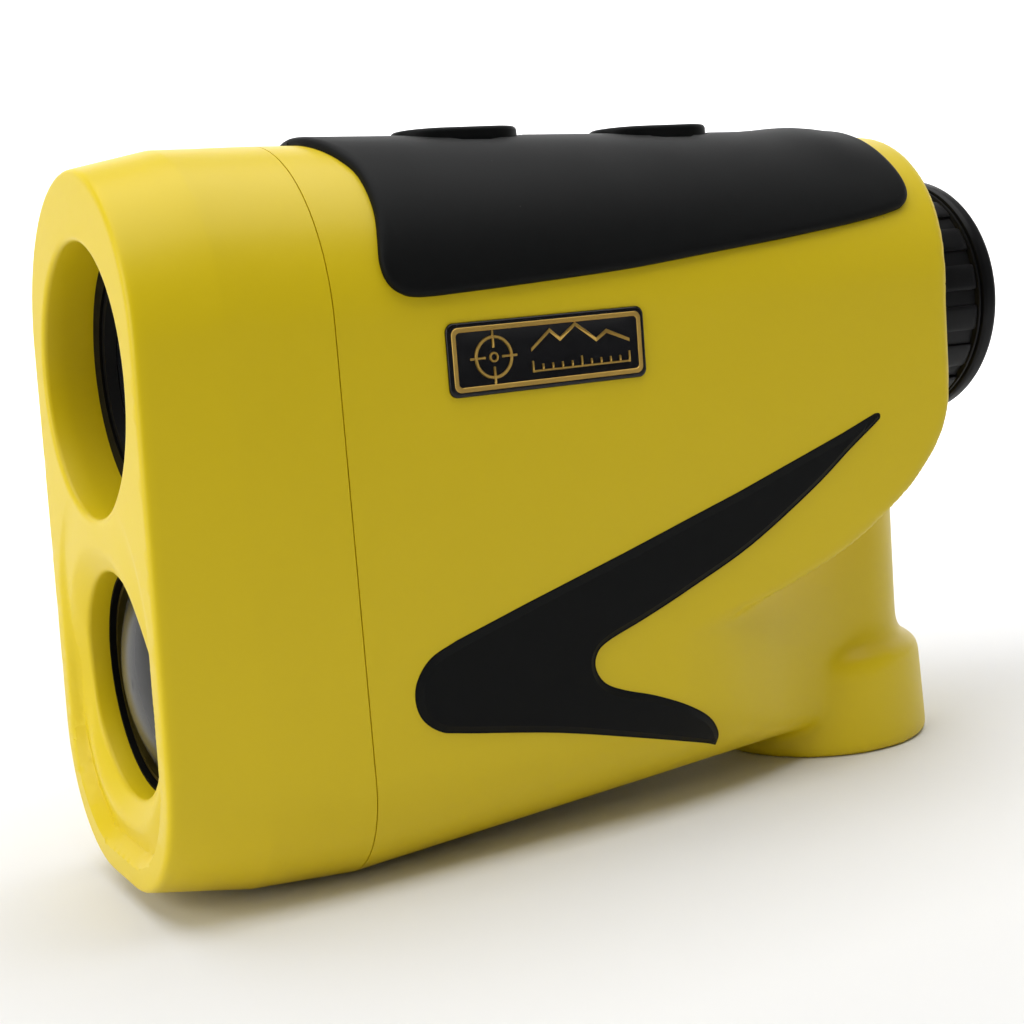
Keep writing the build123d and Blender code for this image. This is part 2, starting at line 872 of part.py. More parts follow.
with BuildPart() as detector:
    with BuildSketch(cross_plane(24.6)):
        with Locations((0, receiver_height)):
            Circle(4.1)
    extrude(amount=-2.6)
    with BuildSketch(cross_plane(27.2)):
        with Locations((0, receiver_height)):
            Circle(4.25)
    extrude(amount=-0.8)
detector.part.label = "detector"
export_step(detector.part, "parts/detector.step")

with BuildPart() as detector_board:
    with BuildSketch(cross_plane(28.0)):
        with Locations((0, receiver_height)):
            Rectangle(20, 20)
    extrude(amount=-1.2)
detector_board.part.label = "detector_board"
export_step(detector_board.part, "parts/detector_board.step")

# ================================================================ eyepiece
with BuildPart() as ocular_tube:
    add(
        turned(
            sight_height,
            (
                (tube_start, ocular_tube_bore),
                (tube_start, ocular_tube_radius),
                (rear_station - wall - 1.2, ocular_tube_radius),
                (rear_station - wall - 1.2, ocular_flange_radius),
                (rear_station - wall, ocular_flange_radius),
                (rear_station - wall, ocular_tube_radius),
                (rear_station + 4.8, ocular_tube_radius),
                (rear_station + 4.8, ocular_tube_bore),
            ),
        )
    )
    revolve(axis=sight_axis)
ocular_tube.part.label = "ocular_tube"
export_step(ocular_tube.part, "parts/ocular_tube.step")

with BuildPart() as ring_washer:
    with BuildSketch(cross_plane(rear_station)):
        with Locations((0, sight_height)):
            Circle(13.9)
            Circle(ocular_tube_radius + seat_gap, mode=Mode.SUBTRACT)
    extrude(amount=-0.25)
ring_washer.part.label = "ring_washer"
export_step(ring_washer.part, "parts/ring_washer.step")

with BuildPart() as diopter_ring:
    with BuildSketch(cross_plane(rear_station + ring_gap)):
        with Locations((0, sight_height)):
            Circle(fluted_radius)
    extrude(amount=rear_station + ring_gap - cup_start)
    with BuildSketch(cross_plane(rear_station + ring_gap + 0.7)):
        with Locations((0, sight_height)):
            with PolarLocations(fluted_radius + 0.4, flute_count):
                SlotOverall(3.0, 1.8, rotation=90)
    extrude(amount=rear_station + ring_gap + 1.4 - cup_start, mode=Mode.SUBTRACT)
    with BuildSketch(cross_plane(rear_station)):
        with Locations((0, sight_height)):
            Circle(ocular_tube_radius + slide_gap)
    extrude(amount=-8, mode=Mode.SUBTRACT)
diopter_ring.part.label = "diopter_ring"
export_step(diopter_ring.part, "parts/diopter_ring.step")

with BuildPart() as eyecup:
    add(
        turned(
            sight_height,
            (
                (cup_start, 9.9),
                (cup_start, eyecup_radius - 0.4),
                (cup_start + 0.4, eyecup_radius),
                (overall_length - 0.6, eyecup_radius),
                (overall_length, eyecup_radius - 0.8),
                (overall_length, 13.0),
                (overall_length - 1.7, 9.9),
            ),
        )
    )
    revolve(axis=sight_axis)
eyecup.part.label = "eyecup"
export_step(eyecup.part, "parts/eyecup.step")

with BuildPart() as ocular_cell:
    add(
        turned(
            sight_height,
            (
                (cell_start, 8.6),
                (cell_start, ocular_cell_radius),
                (cell_start + 17.6, ocular_cell_radius),
                (cell_start + 17.6, 9.4),
                (cell_start + 1.2, 9.4),
                (cell_start + 1.2, 8.6),
            ),
        )
    )
    revolve(axis=sight_axis)
ocular_cell.part.label = "ocular_cell"
export_step(ocular_cell.part, "parts/ocular_cell.step")

with BuildPart() as field_lens:
    add(lens_half(sight_height, 9.35, *(cell_start + d for d in (2.2, 1.4, 4.2, 5.2))))
    revolve(axis=sight_axis)
field_lens.part.label = "field_lens"
export_step(field_lens.part, "parts/field_lens.step")

with BuildPart() as ocular_spacer:
    with BuildSketch(cross_plane(cell_start + 4.35)):
        with Locations((0, sight_height)):
            Circle(9.35)
            Circle(8.7, mode=Mode.SUBTRACT)
    extrude(amount=-8.25)
ocular_spacer.part.label = "ocular_spacer"
export_step(ocular_spacer.part, "parts/ocular_spacer.step")

with BuildPart() as eye_lens:
    add(lens_half(sight_height, 9.35, *(cell_start + d for d in (12.8, 11.6, 15.2, 16.6))))
    revolve(axis=sight_axis)
eye_lens.part.label = "eye_lens"
export_step(eye_lens.part, "parts/eye_lens.step")

with BuildPart() as ocular_retainer:
    with BuildSketch(cross_plane(cell_start + 15.5)):
        with Locations((0, sight_height)):
            Circle(9.38)
            Circle(8.5, mode=Mode.SUBTRACT)
    extrude(amount=-1.5)
ocular_retainer.part.label = "ocular_retainer"
export_step(ocular_retainer.part, "parts/ocular_retainer.step")

# ================================================================ controls
with BuildPart() as button_board:
    with BuildSketch(Plane.XY.offset(board_base)):
        with Locations((0, y_at(58.6))):
            Rectangle(15, 41)
    extrude(amount=board_thickness)
button_board.part.label = "button_board"
export_step(button_board.part, "parts/button_board.step")

with BuildPart() as key_switches:
    for station in button_stations:
        with BuildSketch(Plane.XY.offset(board_base + board_thickness)):
            with Locations((0, y_at(station))):
                Rectangle(6, 6)
        extrude(amount=switch_height)
        with BuildSketch(Plane.XY.offset(board_base + board_thickness)):
            with Locations((0, y_at(station))):
                Rectangle(7.6, 4.2)
        extrude(amount=0.4)
        with BuildSketch(Plane.XY.offset(board_base + board_thickness + 1.9)):
            with Locations((0, y_at(station))):
                Circle(plunger_radius + slide_gap + 0.05)
        extrude(amount=4, mode=Mode.SUBTRACT)
key_switches.part.label = "key_switches"
export_step(key_switches.part, "parts/key_switches.step")

plunger_base = board_base + board_thickness + 1.9 + button_travel + 0.1
plunger_top = board_base + board_thickness + switch_height + 1.0

with BuildPart() as power_plunger:
    with BuildSketch(Plane.XY.offset(plunger_base)):
        with Locations((0, y_at(button_stations[0]))):
            Circle(plunger_radius)
    extrude(amount=plunger_top - plunger_base)
power_plunger.part.label = "power_plunger"
export_step(power_plunger.part, "parts/power_plunger.step")

with BuildPart() as mode_plunger:
    with BuildSketch(Plane.XY.offset(plunger_base)):
        with Locations((0, y_at(button_stations[1]))):
            Circle(plunger_radius)
    extrude(amount=plunger_top - plunger_base)
mode_plunger.part.label = "mode_plunger"
export_step(mode_plunger.part, "parts/mode_plunger.step")

power_roof = body_top(button_stations[0])
power_flange = power_roof - pocket_depth - slide_gap

with BuildPart() as power_button:
    with BuildSketch(Plane.XY.offset(power_flange)):
        with Locations((0, y_at(button_stations[0]))):
            SlotOverall(button_length, button_width, rotation=90)
    extrude(amount=power_roof + pad_proud + button_proud - power_flange)
    fillet(power_button.faces().sort_by(Axis.Z)[-1].edges(), radius=0.5)
    with BuildSketch(Plane.XY.offset(power_flange)):
        with Locations((0, y_at(button_stations[0]))):
            SlotOverall(button_length + 2 * flange_lip, button_width + 2 * flange_lip, rotation=90)
    extrude(amount=-0.8)
    with BuildSketch(Plane.XY.offset(plunger_top)):
        with Locations((0, y_at(button_stations[0]))):
            Circle(1.8)
    extrude(amount=power_flange - plunger_top)
power_button.part.label = "power_button"
export_step(power_button.part, "parts/power_button.step")

mode_roof = body_top(button_stations[1])
mode_flange = mode_roof - pocket_depth - slide_gap

with BuildPart() as mode_button:
    with BuildSketch(Plane.XY.offset(mode_flange)):
        with Locations((0, y_at(button_stations[1]))):
            SlotOverall(button_length, button_width, rotation=90)
    extrude(amount=mode_roof + pad_proud + button_proud - mode_flange)
    fillet(mode_button.faces().sort_by(Axis.Z)[-1].edges(), radius=0.5)
    with BuildSketch(Plane.XY.offset(mode_flange)):
        with Locations((0, y_at(button_stations[1]))):
            SlotOverall(button_length + 2 * flange_lip, button_width + 2 * flange_lip, rotation=90)
    extrude(amount=-0.8)
    with BuildSketch(Plane.XY.offset(plunger_top)):
        with Locations((0, y_at(button_stations[1]))):
            Circle(1.8)
    extrude(amount=mode_flange - plunger_top)
mode_button.part.label = "mode_button"
export_step(mode_button.part, "parts/mode_button.step")

# ================================================================ electronics
with BuildPart() as main_board:
    with BuildSketch(Plane.YZ.offset(-0.8)):
        with Locations((y_at(45.3), 21.5)):
            Rectangle(17.6, 31)
    extrude(amount=1.6)
main_board.part.label = "main_board"
export_step(main_board.part, "parts/main_board.step")

with BuildPart() as board_chips:
    with BuildSketch(Plane.YZ.offset(0.8)):
        with Locations((y_at(44.5), 27.0)):
            Rectangle(7, 7)
        with Locations((y_at(49.5), 14.0), (y_at(41.0), 14.5)):
            Rectangle(4, 5)
        with GridLocations(2.4, 2.6, 5, 1) as passives:
            with Locations((y_at(45.3), 33.8)):
                Rectangle(1.0, 1.6)
    extrude(amount=1.0)
board_chips.part.label = "board_chips"
export_step(board_chips.part, "parts/board_chips.step")

with BuildPart() as pulse_capacitor:
    with BuildSketch(Plane.XY.offset(10)):
        with Locations((-4.2, y_at(45.0))):
            Circle(3.2)
    extrude(amount=12)
pulse_capacitor.part.label = "pulse_capacitor"
export_step(pulse_capacitor.part, "parts/pulse_capacitor.step")

# ================================================================ battery and cap
with BuildPart() as battery_liner:
    with BuildSketch(Plane.XY.offset(thread_top + 0.4)):
        with Locations((0, y_at(grip_station))):
            Circle(liner_radius)
    extrude(amount=liner_top - thread_top - 0.4)
    with BuildSketch(Plane.XY.offset(thread_top + 0.4)):
        with Locations((0, y_at(grip_station))):
            Circle(battery_radius + 0.4)
    extrude(amount=liner_top - thread_top - 1.6, mode=Mode.SUBTRACT)
battery_liner.part.label = "battery_liner"
export_step(battery_liner.part, "parts/battery_liner.step")

with BuildPart() as battery:
    with BuildSketch(Plane.XY.offset(battery_base)):
        with Locations((0, y_at(grip_station))):
            Circle(battery_radius)
    extrude(amount=battery_length - 1.0)
    fillet(battery.edges().filter_by(GeomType.CIRCLE), radius=0.6)
    with BuildSketch(Plane.XY.offset(battery_base + battery_length - 1.2)):
        with Locations((0, y_at(grip_station))):
            Circle(3.0)
    extrude(amount=1.2)
battery.part.label = "battery"
export_step(battery.part, "parts/battery.step")

with BuildPart() as top_contact:
    with BuildSketch(Plane.XY.offset(battery_base + battery_length)):
        with Locations((0, y_at(grip_station))):
            Circle(4.5)
    extrude(amount=0.5)
    with BuildSketch(Plane.XY.offset(battery_base + battery_length + 0.5)):
        with Locations((0, y_at(grip_station))):
            Circle(1.2)
    extrude(amount=liner_top - 1.2 - battery_base - battery_length - 0.5)
top_contact.part.label = "top_contact"
export_step(top_contact.part, "parts/top_contact.step")

with BuildPart() as battery_cap:
    with BuildSketch(Plane.XY.offset(cap_inset)):
        with Locations((0, y_at(grip_station))):
            Circle(cap_radius)
    extrude(amount=cap_thickness)
    chamfer(battery_cap.edges().group_by(Axis.Z)[0], length=0.4)
    with BuildSketch(Plane.XY.offset(cap_inset + cap_thickness)):
        with Locations((0, y_at(grip_station))):
            Circle(thread_radius - slide_gap)
            Circle(battery_radius + 0.5, mode=Mode.SUBTRACT)
    extrude(amount=thread_top - 0.8 - cap_inset - cap_thickness)
    # Groove for the seal.
    with BuildSketch(Plane.XY.offset(3.2)):
        with Locations((0, y_at(grip_station))):
            Circle(thread_radius)
            Circle(thread_radius - 0.9, mode=Mode.SUBTRACT)
    extrude(amount=1.0, mode=Mode.SUBTRACT)
    # Coin slot.
    with BuildSketch(Plane.XY):
        with Locations((0, y_at(grip_station))):
            SlotOverall(15, 1.8)
    extrude(amount=cap_inset + 1.1, mode=Mode.SUBTRACT)
battery_cap.part.label = "battery_cap"
export_step(battery_cap.part, "parts/battery_cap.step")

with BuildPart() as cap_seal:
    with BuildSketch(Plane.XY.offset(3.2)):
        with Locations((0, y_at(grip_station))):
            Circle(thread_radius - 0.06)
            Circle(thread_radius - 0.9, mode=Mode.SUBTRACT)
    extrude(amount=1.0)
cap_seal.part.label = "cap_seal"
export_step(cap_seal.part, "parts/cap_seal.step")

with BuildPart() as cap_contact:
    with BuildSketch(Plane.XY.offset(cap_inset + cap_thickness + 0.15)):
        with Locations((0, y_at(grip_station))):
            Circle(battery_radius - 0.4)
    extrude(amount=0.5)
    with BuildSketch(Plane.XY.offset(cap_inset + cap_thickness + 0.15)):
        with Locations((0, y_at(grip_station))):
            Circle(3.6)
            Circle(2.8, mode=Mode.SUBTRACT)
    extrude(amount=battery_base - cap_inset - cap_thickness - 0.25)
cap_contact.part.label = "cap_contact"
export_step(cap_contact.part, "parts/cap_contact.step")
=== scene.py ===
"""Looks of a handheld laser rangefinder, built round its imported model.

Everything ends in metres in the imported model's frame: +Z up, -Y is where the instrument looks and
+X is its left side. Shapes are worked out in millimetres, with lengthwise places given as stations
counted back from the foremost point, and are turned into metres when a mesh is made.
"""

import math

import bmesh
import bpy
import numpy as np
from mathutils import Matrix, Vector
from mathutils.bvhtree import BVHTree
from mathutils.geometry import delaunay_2d_cdt


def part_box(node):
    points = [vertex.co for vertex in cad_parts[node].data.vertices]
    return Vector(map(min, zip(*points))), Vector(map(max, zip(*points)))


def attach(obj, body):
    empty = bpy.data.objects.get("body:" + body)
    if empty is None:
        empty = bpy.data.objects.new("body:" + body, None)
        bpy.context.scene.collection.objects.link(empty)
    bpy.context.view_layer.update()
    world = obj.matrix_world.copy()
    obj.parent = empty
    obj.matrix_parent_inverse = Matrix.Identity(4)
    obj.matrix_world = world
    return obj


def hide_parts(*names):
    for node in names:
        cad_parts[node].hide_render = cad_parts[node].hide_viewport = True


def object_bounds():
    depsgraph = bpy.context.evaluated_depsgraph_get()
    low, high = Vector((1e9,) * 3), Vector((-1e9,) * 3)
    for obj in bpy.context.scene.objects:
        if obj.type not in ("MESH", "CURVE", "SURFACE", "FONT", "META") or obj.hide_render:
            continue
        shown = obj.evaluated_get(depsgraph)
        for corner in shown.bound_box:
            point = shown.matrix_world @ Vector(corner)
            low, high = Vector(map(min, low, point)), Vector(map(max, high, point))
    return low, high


bl_info = {
    "name": "Laser Rangefinder",
    "version": (1, 0, 0),
    "blender": (4, 5, 0),
    "location": "3D View > Sidebar > Rangefinder",
    "description": "Painted housing, rubber, badge, eyepiece and studio for a packed rangefinder",
    "category": "Object",
}

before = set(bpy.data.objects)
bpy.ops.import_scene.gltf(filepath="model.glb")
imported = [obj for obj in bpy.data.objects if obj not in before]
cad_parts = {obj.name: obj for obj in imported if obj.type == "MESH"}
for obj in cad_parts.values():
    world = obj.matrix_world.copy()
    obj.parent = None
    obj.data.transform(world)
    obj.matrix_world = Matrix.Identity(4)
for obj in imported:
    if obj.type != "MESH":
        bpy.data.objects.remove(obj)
CAD_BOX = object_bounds()
MM = 0.001
LENGTH = (CAD_BOX[1].y - CAD_BOX[0].y) / MM


def box_mm(node):
    """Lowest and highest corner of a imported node, in millimetres."""
    low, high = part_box(node)
    return low / MM, high / MM


def station_of(y):
    """Station of a lengthwise place in the frame, in millimetres."""
    return y - CAD_BOX[0].y / MM


def y_at(station):
    """Lengthwise place in the frame of a station, in millimetres."""
    return station + CAD_BOX[0].y / MM


SHELL_LOW, SHELL_HIGH = box_mm("left_shell")
SEAM = station_of(SHELL_LOW.y)
REAR = station_of(box_mm("ring_washer")[0].y)
HALF_WIDTH = SHELL_HIGH.x
ROOF_AT_SEAM = SHELL_HIGH.z
PLATE_LOW, PLATE_HIGH = box_mm("nameplate")
RING_LOW, RING_HIGH = box_mm("diopter_ring")
CUP_LOW, CUP_HIGH = box_mm("eyecup")
CAP_LOW, CAP_HIGH = box_mm("battery_cap")
SIGHT_HEIGHT = (CUP_LOW.z + CUP_HIGH.z) / 2
RECEIVER_LOW, RECEIVER_HIGH = box_mm("receiver_lens")
RECEIVER_HEIGHT = (RECEIVER_LOW.z + RECEIVER_HIGH.z) / 2
GRIP = station_of((CAP_LOW.y + CAP_HIGH.y) / 2)
BUTTONS = [box_mm("power_button"), box_mm("mode_button")]


# ------------------------------------------------------------------------------ sizes and finishes
def length_property(name, description, millimetres):
    """A length that a user may change, kept in metres."""
    return bpy.props.FloatProperty(
        name=name, description=description, default=millimetres * MM, unit="LENGTH", precision=5
    )


def colour_property(name, description, colour):
    """A colour that a user may change, in linear light."""
    return bpy.props.FloatVectorProperty(
        name=name, description=description, default=colour, subtype="COLOR", size=3, min=0, max=1
    )


def share_property(name, description, value):
    """A number from 0 to 1 that a user may change."""
    return bpy.props.FloatProperty(
        name=name, description=description, default=value, min=0, max=1, subtype="FACTOR"
    )


class RangefinderSizes(bpy.types.PropertyGroup):
    """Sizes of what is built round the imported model"""

    face_rounding: length_property("Face Rounding", "Radius round the edge of the front face", 0.7)
    bore_rounding: length_property("Bore Rounding", "Radius at the mouth of the sighting bore", 0.6)
    panel_depth: length_property("Panel Depth", "Deepest point of the panel round the receiver", 1.6)
    seam_groove: length_property("Seam Groove", "Bevel where the bezel meets the shells", 0.10)
    skin: length_property("Skin", "Wall thickness of the painted shells", 1.0)
    voxel: length_property("Grain", "Edge of a cell when the body's lobes are blended", 0.52)
    pad_proud: length_property("Pad Height", "How far the top pad stands off the paint", 0.9)
    pad_bevel: length_property("Pad Bevel", "Width of the rounded edge of the top pad", 0.9)
    trim_proud: length_property("Trim Height", "How far the side trims stand off the paint", 0.5)
    trim_bevel: length_property("Trim Bevel", "Width of the sloped edge of the side trims", 0.62)
    rib_count: bpy.props.IntProperty(
        name="Ribs", description="Ribs round the focusing ring", default=18, min=6
    )
    rib_gap: length_property("Rib Gap", "Width of the groove between two ribs", 2.0)
    rib_height: length_property("Rib Height", "Height of a rib above its groove", 0.5)


class RangefinderFinishes(bpy.types.PropertyGroup):
    """Colours and gloss of the finishes"""

    paint: colour_property("Paint", "Satin paint of the housing", (0.71, 0.53, 0.004))
    paint_rough: share_property("Paint Roughness", "How matt the paint is", 0.42)
    rubber: colour_property("Rubber", "Soft pads and trims", (0.0032, 0.0036, 0.0036))
    plastic: colour_property("Plastic", "Hard black parts", (0.003, 0.003, 0.0034))
    brass: colour_property("Brass", "Raised lines of the badge", (0.62, 0.40, 0.10))
    ring: colour_property("Retaining Ring", "Ring round the receiver lens", (0.13, 0.10, 0.02))
    glass: colour_property("Smoked Glass", "Dome of the receiver lens", (0.045, 0.045, 0.045))
    floor: colour_property("Floor", "Studio floor and backdrop", (0.80, 0.80, 0.80))


def sizes():
    return bpy.context.scene.rangefinder_sizes


def finishes():
    return bpy.context.scene.rangefinder_finishes


# ------------------------------------------------------------------------------ body form
FACE_STATION, CREASE_STATION = -0.6, 10.4
FACE_LEAN = math.tan(math.radians(1.5))
#            half width, top, bottom, corner radius
FACE_FORM = (17.5, 74.1, 2.3, 14.2)
CREASE_FORM = (18.2, ROOF_AT_SEAM, 0.5, 13.0)
KEEL_CORNER = 12.0
ROOF_AT_REAR, FLOOR_AT_REAR = 74.4, 4.6
REAR_FACE, REAR_ROUNDING, REAR_LEAN = REAR - 2.7, 1.0, 2.7
OBJECTIVE_RADIUS, RECEIVER_RADIUS, DISH_RADIUS = 13.85, 11.8, 14.7


def body_form(station, inset=0.0):
    """Half width, top, bottom and corner radius of the shells at a station."""
    run = (station - SEAM) / (REAR - SEAM)
    return (
        HALF_WIDTH - inset,
        ROOF_AT_SEAM + (ROOF_AT_REAR - ROOF_AT_SEAM) * run - inset,
        FLOOR_AT_REAR * run + inset,
        KEEL_CORNER - inset,
    )


def section(form, parts=(6, 14, 18, 30)):
    """Closed outline (x, z) with a half-round roof, flat sides and a rounded keel, from the keel's middle."""
    width, top, bottom, corner = form
    across, bend, side, roof = parts
    keel = [(width - corner) * i / across for i in range(across)]
    right = [(x, bottom) for x in keel]
    for i in range(bend):
        a = math.pi / 2 * i / bend
        right.append((width - corner + corner * math.sin(a), bottom + corner - corner * math.cos(a)))
    low, high = bottom + corner, top - width
    right += [(width, low + (high - low) * i / side) for i in range(side)]
    for i in range(roof + 1):
        a = math.pi / 2 * i / roof
        right.append((width * math.cos(a), high + width * math.sin(a)))
    right = np.array(right)
    left = right[-2:0:-1] * (-1, 1)
    return np.vstack([right, left])


def smooth_line(points, steps=8):
    """Points on a Catmull-Rom line through the given points."""
    p = np.array(points, float)
    p = np.vstack([2 * p[0] - p[1], p, 2 * p[-1] - p[-2]])
    out = []
    for i in range(1, len(p) - 2):
        for t in np.linspace(0, 1, steps, endpoint=False):
            a, b, c, d = p[i - 1], p[i], p[i + 1], p[i + 2]
            out.append(
                0.5 * (2 * b + (c - a) * t + (2 * a - 5 * b + 4 * c - d) * t**2 + (3 * b - a - 3 * c + d) * t**3)
            )
    return np.array(out + [p[-2]])


def ease(value):
    """Smooth step from 0 to 1."""
    t = np.clip(value, 0, 1)
    return t * t * (3 - 2 * t)


# ------------------------------------------------------------------------------ mesh helpers
class Sketch:
    """Vertices and faces in millimetres that become one mesh."""

    def __init__(self):
        self.points, self.faces, self.count = [], [], 0

    def add(self, points, faces):
        self.points.append(np.asarray(points, float).reshape(-1, 3))
        self.faces += [[i + self.count for i in face] for face in faces]
        self.count += len(self.points[-1])

    def rows(self, rows, closed=True):
        """A skin over rows of equally many points."""
        size = len(rows[0])
        faces = []
        for r in range(len(rows) - 1):
            for i in range(size if closed else size - 1):
                j = (i + 1) % size
                faces.append((r * size + i, r * size + j, (r + 1) * size + j, (r + 1) * size + i))
        self.add(np.vstack(rows), faces)

    def mesh(self, name, merge=1e-4, outward=True):
        data = bpy.data.meshes.new(name)
        data.from_pydata((np.vstack(self.points) * MM).tolist(), [], self.faces)
        form = bmesh.new()
        form.from_mesh(data)
        bmesh.ops.remove_doubles(form, verts=form.verts, dist=merge * MM)
        bmesh.ops.dissolve_degenerate(form, edges=form.edges, dist=1e-8)
        if outward:
            bmesh.ops.recalc_face_normals(form, faces=form.faces)
        form.to_mesh(data)
        form.free()
        return data


def put(name, data, material=None, sharp=40):
    """Links a mesh as an object with smooth shading and crisp edges above an angle."""
    thing = bpy.data.objects.new(name, data)
    bpy.context.scene.collection.objects.link(thing)
    if material is not None:
        data.materials.clear()
        data.materials.append(material)
    data.shade_smooth()
    data.set_sharp_from_angle(angle=math.radians(sharp))
    return thing


def baked(thing):
    """Applies an object's modifiers to its mesh."""
    graph = bpy.context.evaluated_depsgraph_get()
    data = bpy.data.meshes.new_from_object(thing.evaluated_get(graph))
    thing.modifiers.clear()
    thing.data = data
    return thing


def remove(thing):
    bpy.data.objects.remove(thing, do_unlink=True)


def turned(profile, middle, along="Y", segments=96, closed=True):
    """Rows of points for a round piece from (place along, radius) pairs about an upright or lengthwise axis."""
    rows = []
    angles = np.linspace(0, 2 * math.pi, segments, endpoint=False)
    for place, radius in profile:
        c, s = np.cos(angles) * radius, np.sin(angles) * radius
        if along == "Y":
            rows.append(np.c_[s, np.full(segments, y_at(place)), middle + c])
        else:
            rows.append(np.c_[c, y_at(middle) + s, np.full(segments, place)])
    if closed:
        rows.append(rows[0])
    return rows


def circle(radius, middle, count=128):
    a = np.linspace(0, 2 * math.pi, count, endpoint=False)
    return np.c_[radius * np.cos(a), middle + radius * np.sin(a)]


def edge_distance(points, loops):
    """Distance from each point to the nearest edge of the loops."""
    best = np.full(len(points), 1e9)
    for loop in loops:
        start, run = loop, np.roll(loop, -1, 0) - loop
        size = (run**2).sum(1) + 1e-12
        for k in range(0, len(points), 2000):
            p = points[k : k + 2000, None, :] - start[None]
            t = np.clip((p * run[None]).sum(2) / size[None], 0, 1)
            gap = np.sqrt(((p - t[..., None] * run[None]) ** 2).sum(2)).min(1)
            best[k : k + 2000] = np.minimum(best[k : k + 2000], gap)
    return best


def inside(points, loops):
    """Which points lie inside the first loop and outside the others."""
    odd = np.zeros(len(points), bool)
    for loop in loops:
        nxt = np.roll(loop, -1, 0)
        for (x1, y1), (x2, y2) in zip(loop, nxt):
            if y1 == y2:
                continue
            cross = (points[:, 1] > min(y1, y2)) & (points[:, 1] <= max(y1, y2))
            odd ^= cross & (points[:, 0] < x1 + (points[:, 1] - y1) * (x2 - x1) / (y2 - y1))
    return odd


def sheet(loops, rings, spacing, also=None):
    """Triangles filling the first loop round the others, with rows of points at set distances from every edge.

    Returns the points, the faces, each point's distance to the nearest edge, and the places of each loop's points.
    """
    points = np.vstack(loops)
    edges, first = [], 0
    for loop in loops:
        n = len(loop)
        edges += [(first + i, first + (i + 1) % n) for i in range(n)]
        first += n
    extra = []
    for loop in loops:
        nxt = np.roll(loop, -1, 0)
        tangent = nxt - np.roll(loop, 1, 0)
        tangent /= np.linalg.norm(tangent, axis=1)[:, None] + 1e-12
        normal = np.c_[-tangent[:, 1], tangent[:, 0]]
        for ring in rings:
            for side in (1, -1):
                extra.append(np.c_[loop + side * ring * normal, np.full(len(loop), ring)])
    extra = np.vstack([*extra, np.zeros((0, 3))])
    extra = extra[inside(extra[:, :2], loops)]
    near = edge_distance(extra[:, :2], loops)
    extra = extra[near > extra[:, 2] * 0.985 - 1e-4]
    low, high = points.min(0), points.max(0)
    step_x, step_z = spacing if hasattr(spacing, "__len__") else (spacing, spacing)
    grid = np.array(
        [
            (x + (row % 2) * step_x / 2, z)
            for row, z in enumerate(np.arange(low[1] + step_z / 2, high[1], step_z))
            for x in np.arange(low[0], high[0], step_x)
        ]
    ).reshape(-1, 2)
    if also is not None:
        grid = np.vstack([grid, also])
    grid = grid[inside(grid, loops)]
    clear = (max(rings) if len(rings) else 0) + 0.35 * min(step_x, step_z)
    grid = grid[edge_distance(grid, loops) > clear]
    every = np.vstack([points, extra[:, :2], grid])
    made, _, faces, origin, _, _ = delaunay_2d_cdt([Vector(p) for p in every], edges, [], 1, 1e-5)
    made = np.array([tuple(v) for v in made])
    faces = np.array([f for f in faces if len(f) == 3])
    middle = made[faces].mean(1)
    faces = faces[inside(middle, loops)]
    place = {}
    for new, old in enumerate(origin):
        for o in old:
            place[o] = new
    spots, first = [], 0
    for loop in loops:
        spots.append([place[first + i] for i in range(len(loop))])
        first += len(loop)
    return made, faces.tolist(), edge_distance(made, loops), spots


def rounded_step(distance, width, height):
    """Height of a quarter-round edge at a distance in from its foot."""
    t = np.clip(distance / width, 0, 1)
    return height * np.sqrt(np.clip(1 - (1 - t) ** 2, 0, 1))


# ------------------------------------------------------------------------------ materials
def shader(name):
    """A material with a Principled shader and object coordinates."""
    material = bpy.data.materials.new(name)
    material.use_nodes = True
    tree = material.node_tree
    tree.nodes.clear()
    out = tree.nodes.new("ShaderNodeOutputMaterial")
    core = tree.nodes.new("ShaderNodeBsdfPrincipled")
    tree.links.new(core.outputs["BSDF"], out.inputs["Surface"])
    place = tree.nodes.new("ShaderNodeTexCoord")
    return material, tree, core, place.outputs["Object"]


def noise(tree, place, scale, detail=3.0, rough=0.5, stretch=None):
    if stretch is not None:
        mapping = tree.nodes.new("ShaderNodeMapping")
        mapping.inputs["Scale"].default_value = stretch
        tree.links.new(place, mapping.inputs["Vector"])
        place = mapping.outputs["Vector"]
    node = tree.nodes.new("ShaderNodeTexNoise")
    node.inputs["Scale"].default_value = scale
    node.inputs["Detail"].default_value = detail
    node.inputs["Roughness"].default_value = rough
    tree.links.new(place, node.inputs["Vector"])
    return node.outputs["Fac"]


def ramp(tree, value, stops):
    """Colour ramp from (position, colour) stops; a plain number stands for a grey."""
    node = tree.nodes.new("ShaderNodeValToRGB")
    band = node.color_ramp
    while len(band.elements) < len(stops):
        band.elements.new(0.5)
    for element, (position, colour) in zip(band.elements, stops):
        element.position = position
        colour = (colour,) * 3 if not hasattr(colour, "__len__") else colour
        element.color = (*colour[:3], 1)
    tree.links.new(value, node.inputs["Fac"])
    return node.outputs["Color"]


def mixed(tree, factor, first, second, how="MIX"):
    """Mix of two colours, each a colour or a socket."""
    node = tree.nodes.new("ShaderNodeMix")
    node.data_type = "RGBA"
    node.blend_type = how
    for index, value in ((0, factor), (6, first), (7, second)):
        if isinstance(value, bpy.types.NodeSocket):
            tree.links.new(value, node.inputs[index])
        elif hasattr(value, "__len__"):
            node.inputs[index].default_value = (*value[:3], 1)
        else:
            node.inputs[index].default_value = value
    return node.outputs[2]


def span(tree, value, low, high):
    """A 0 to 1 value spread between two numbers."""
    node = tree.nodes.new("ShaderNodeMapRange")
    node.inputs["To Min"].default_value = low
    node.inputs["To Max"].default_value = high
    tree.links.new(value, node.inputs["Value"])
    return node.outputs["Result"]


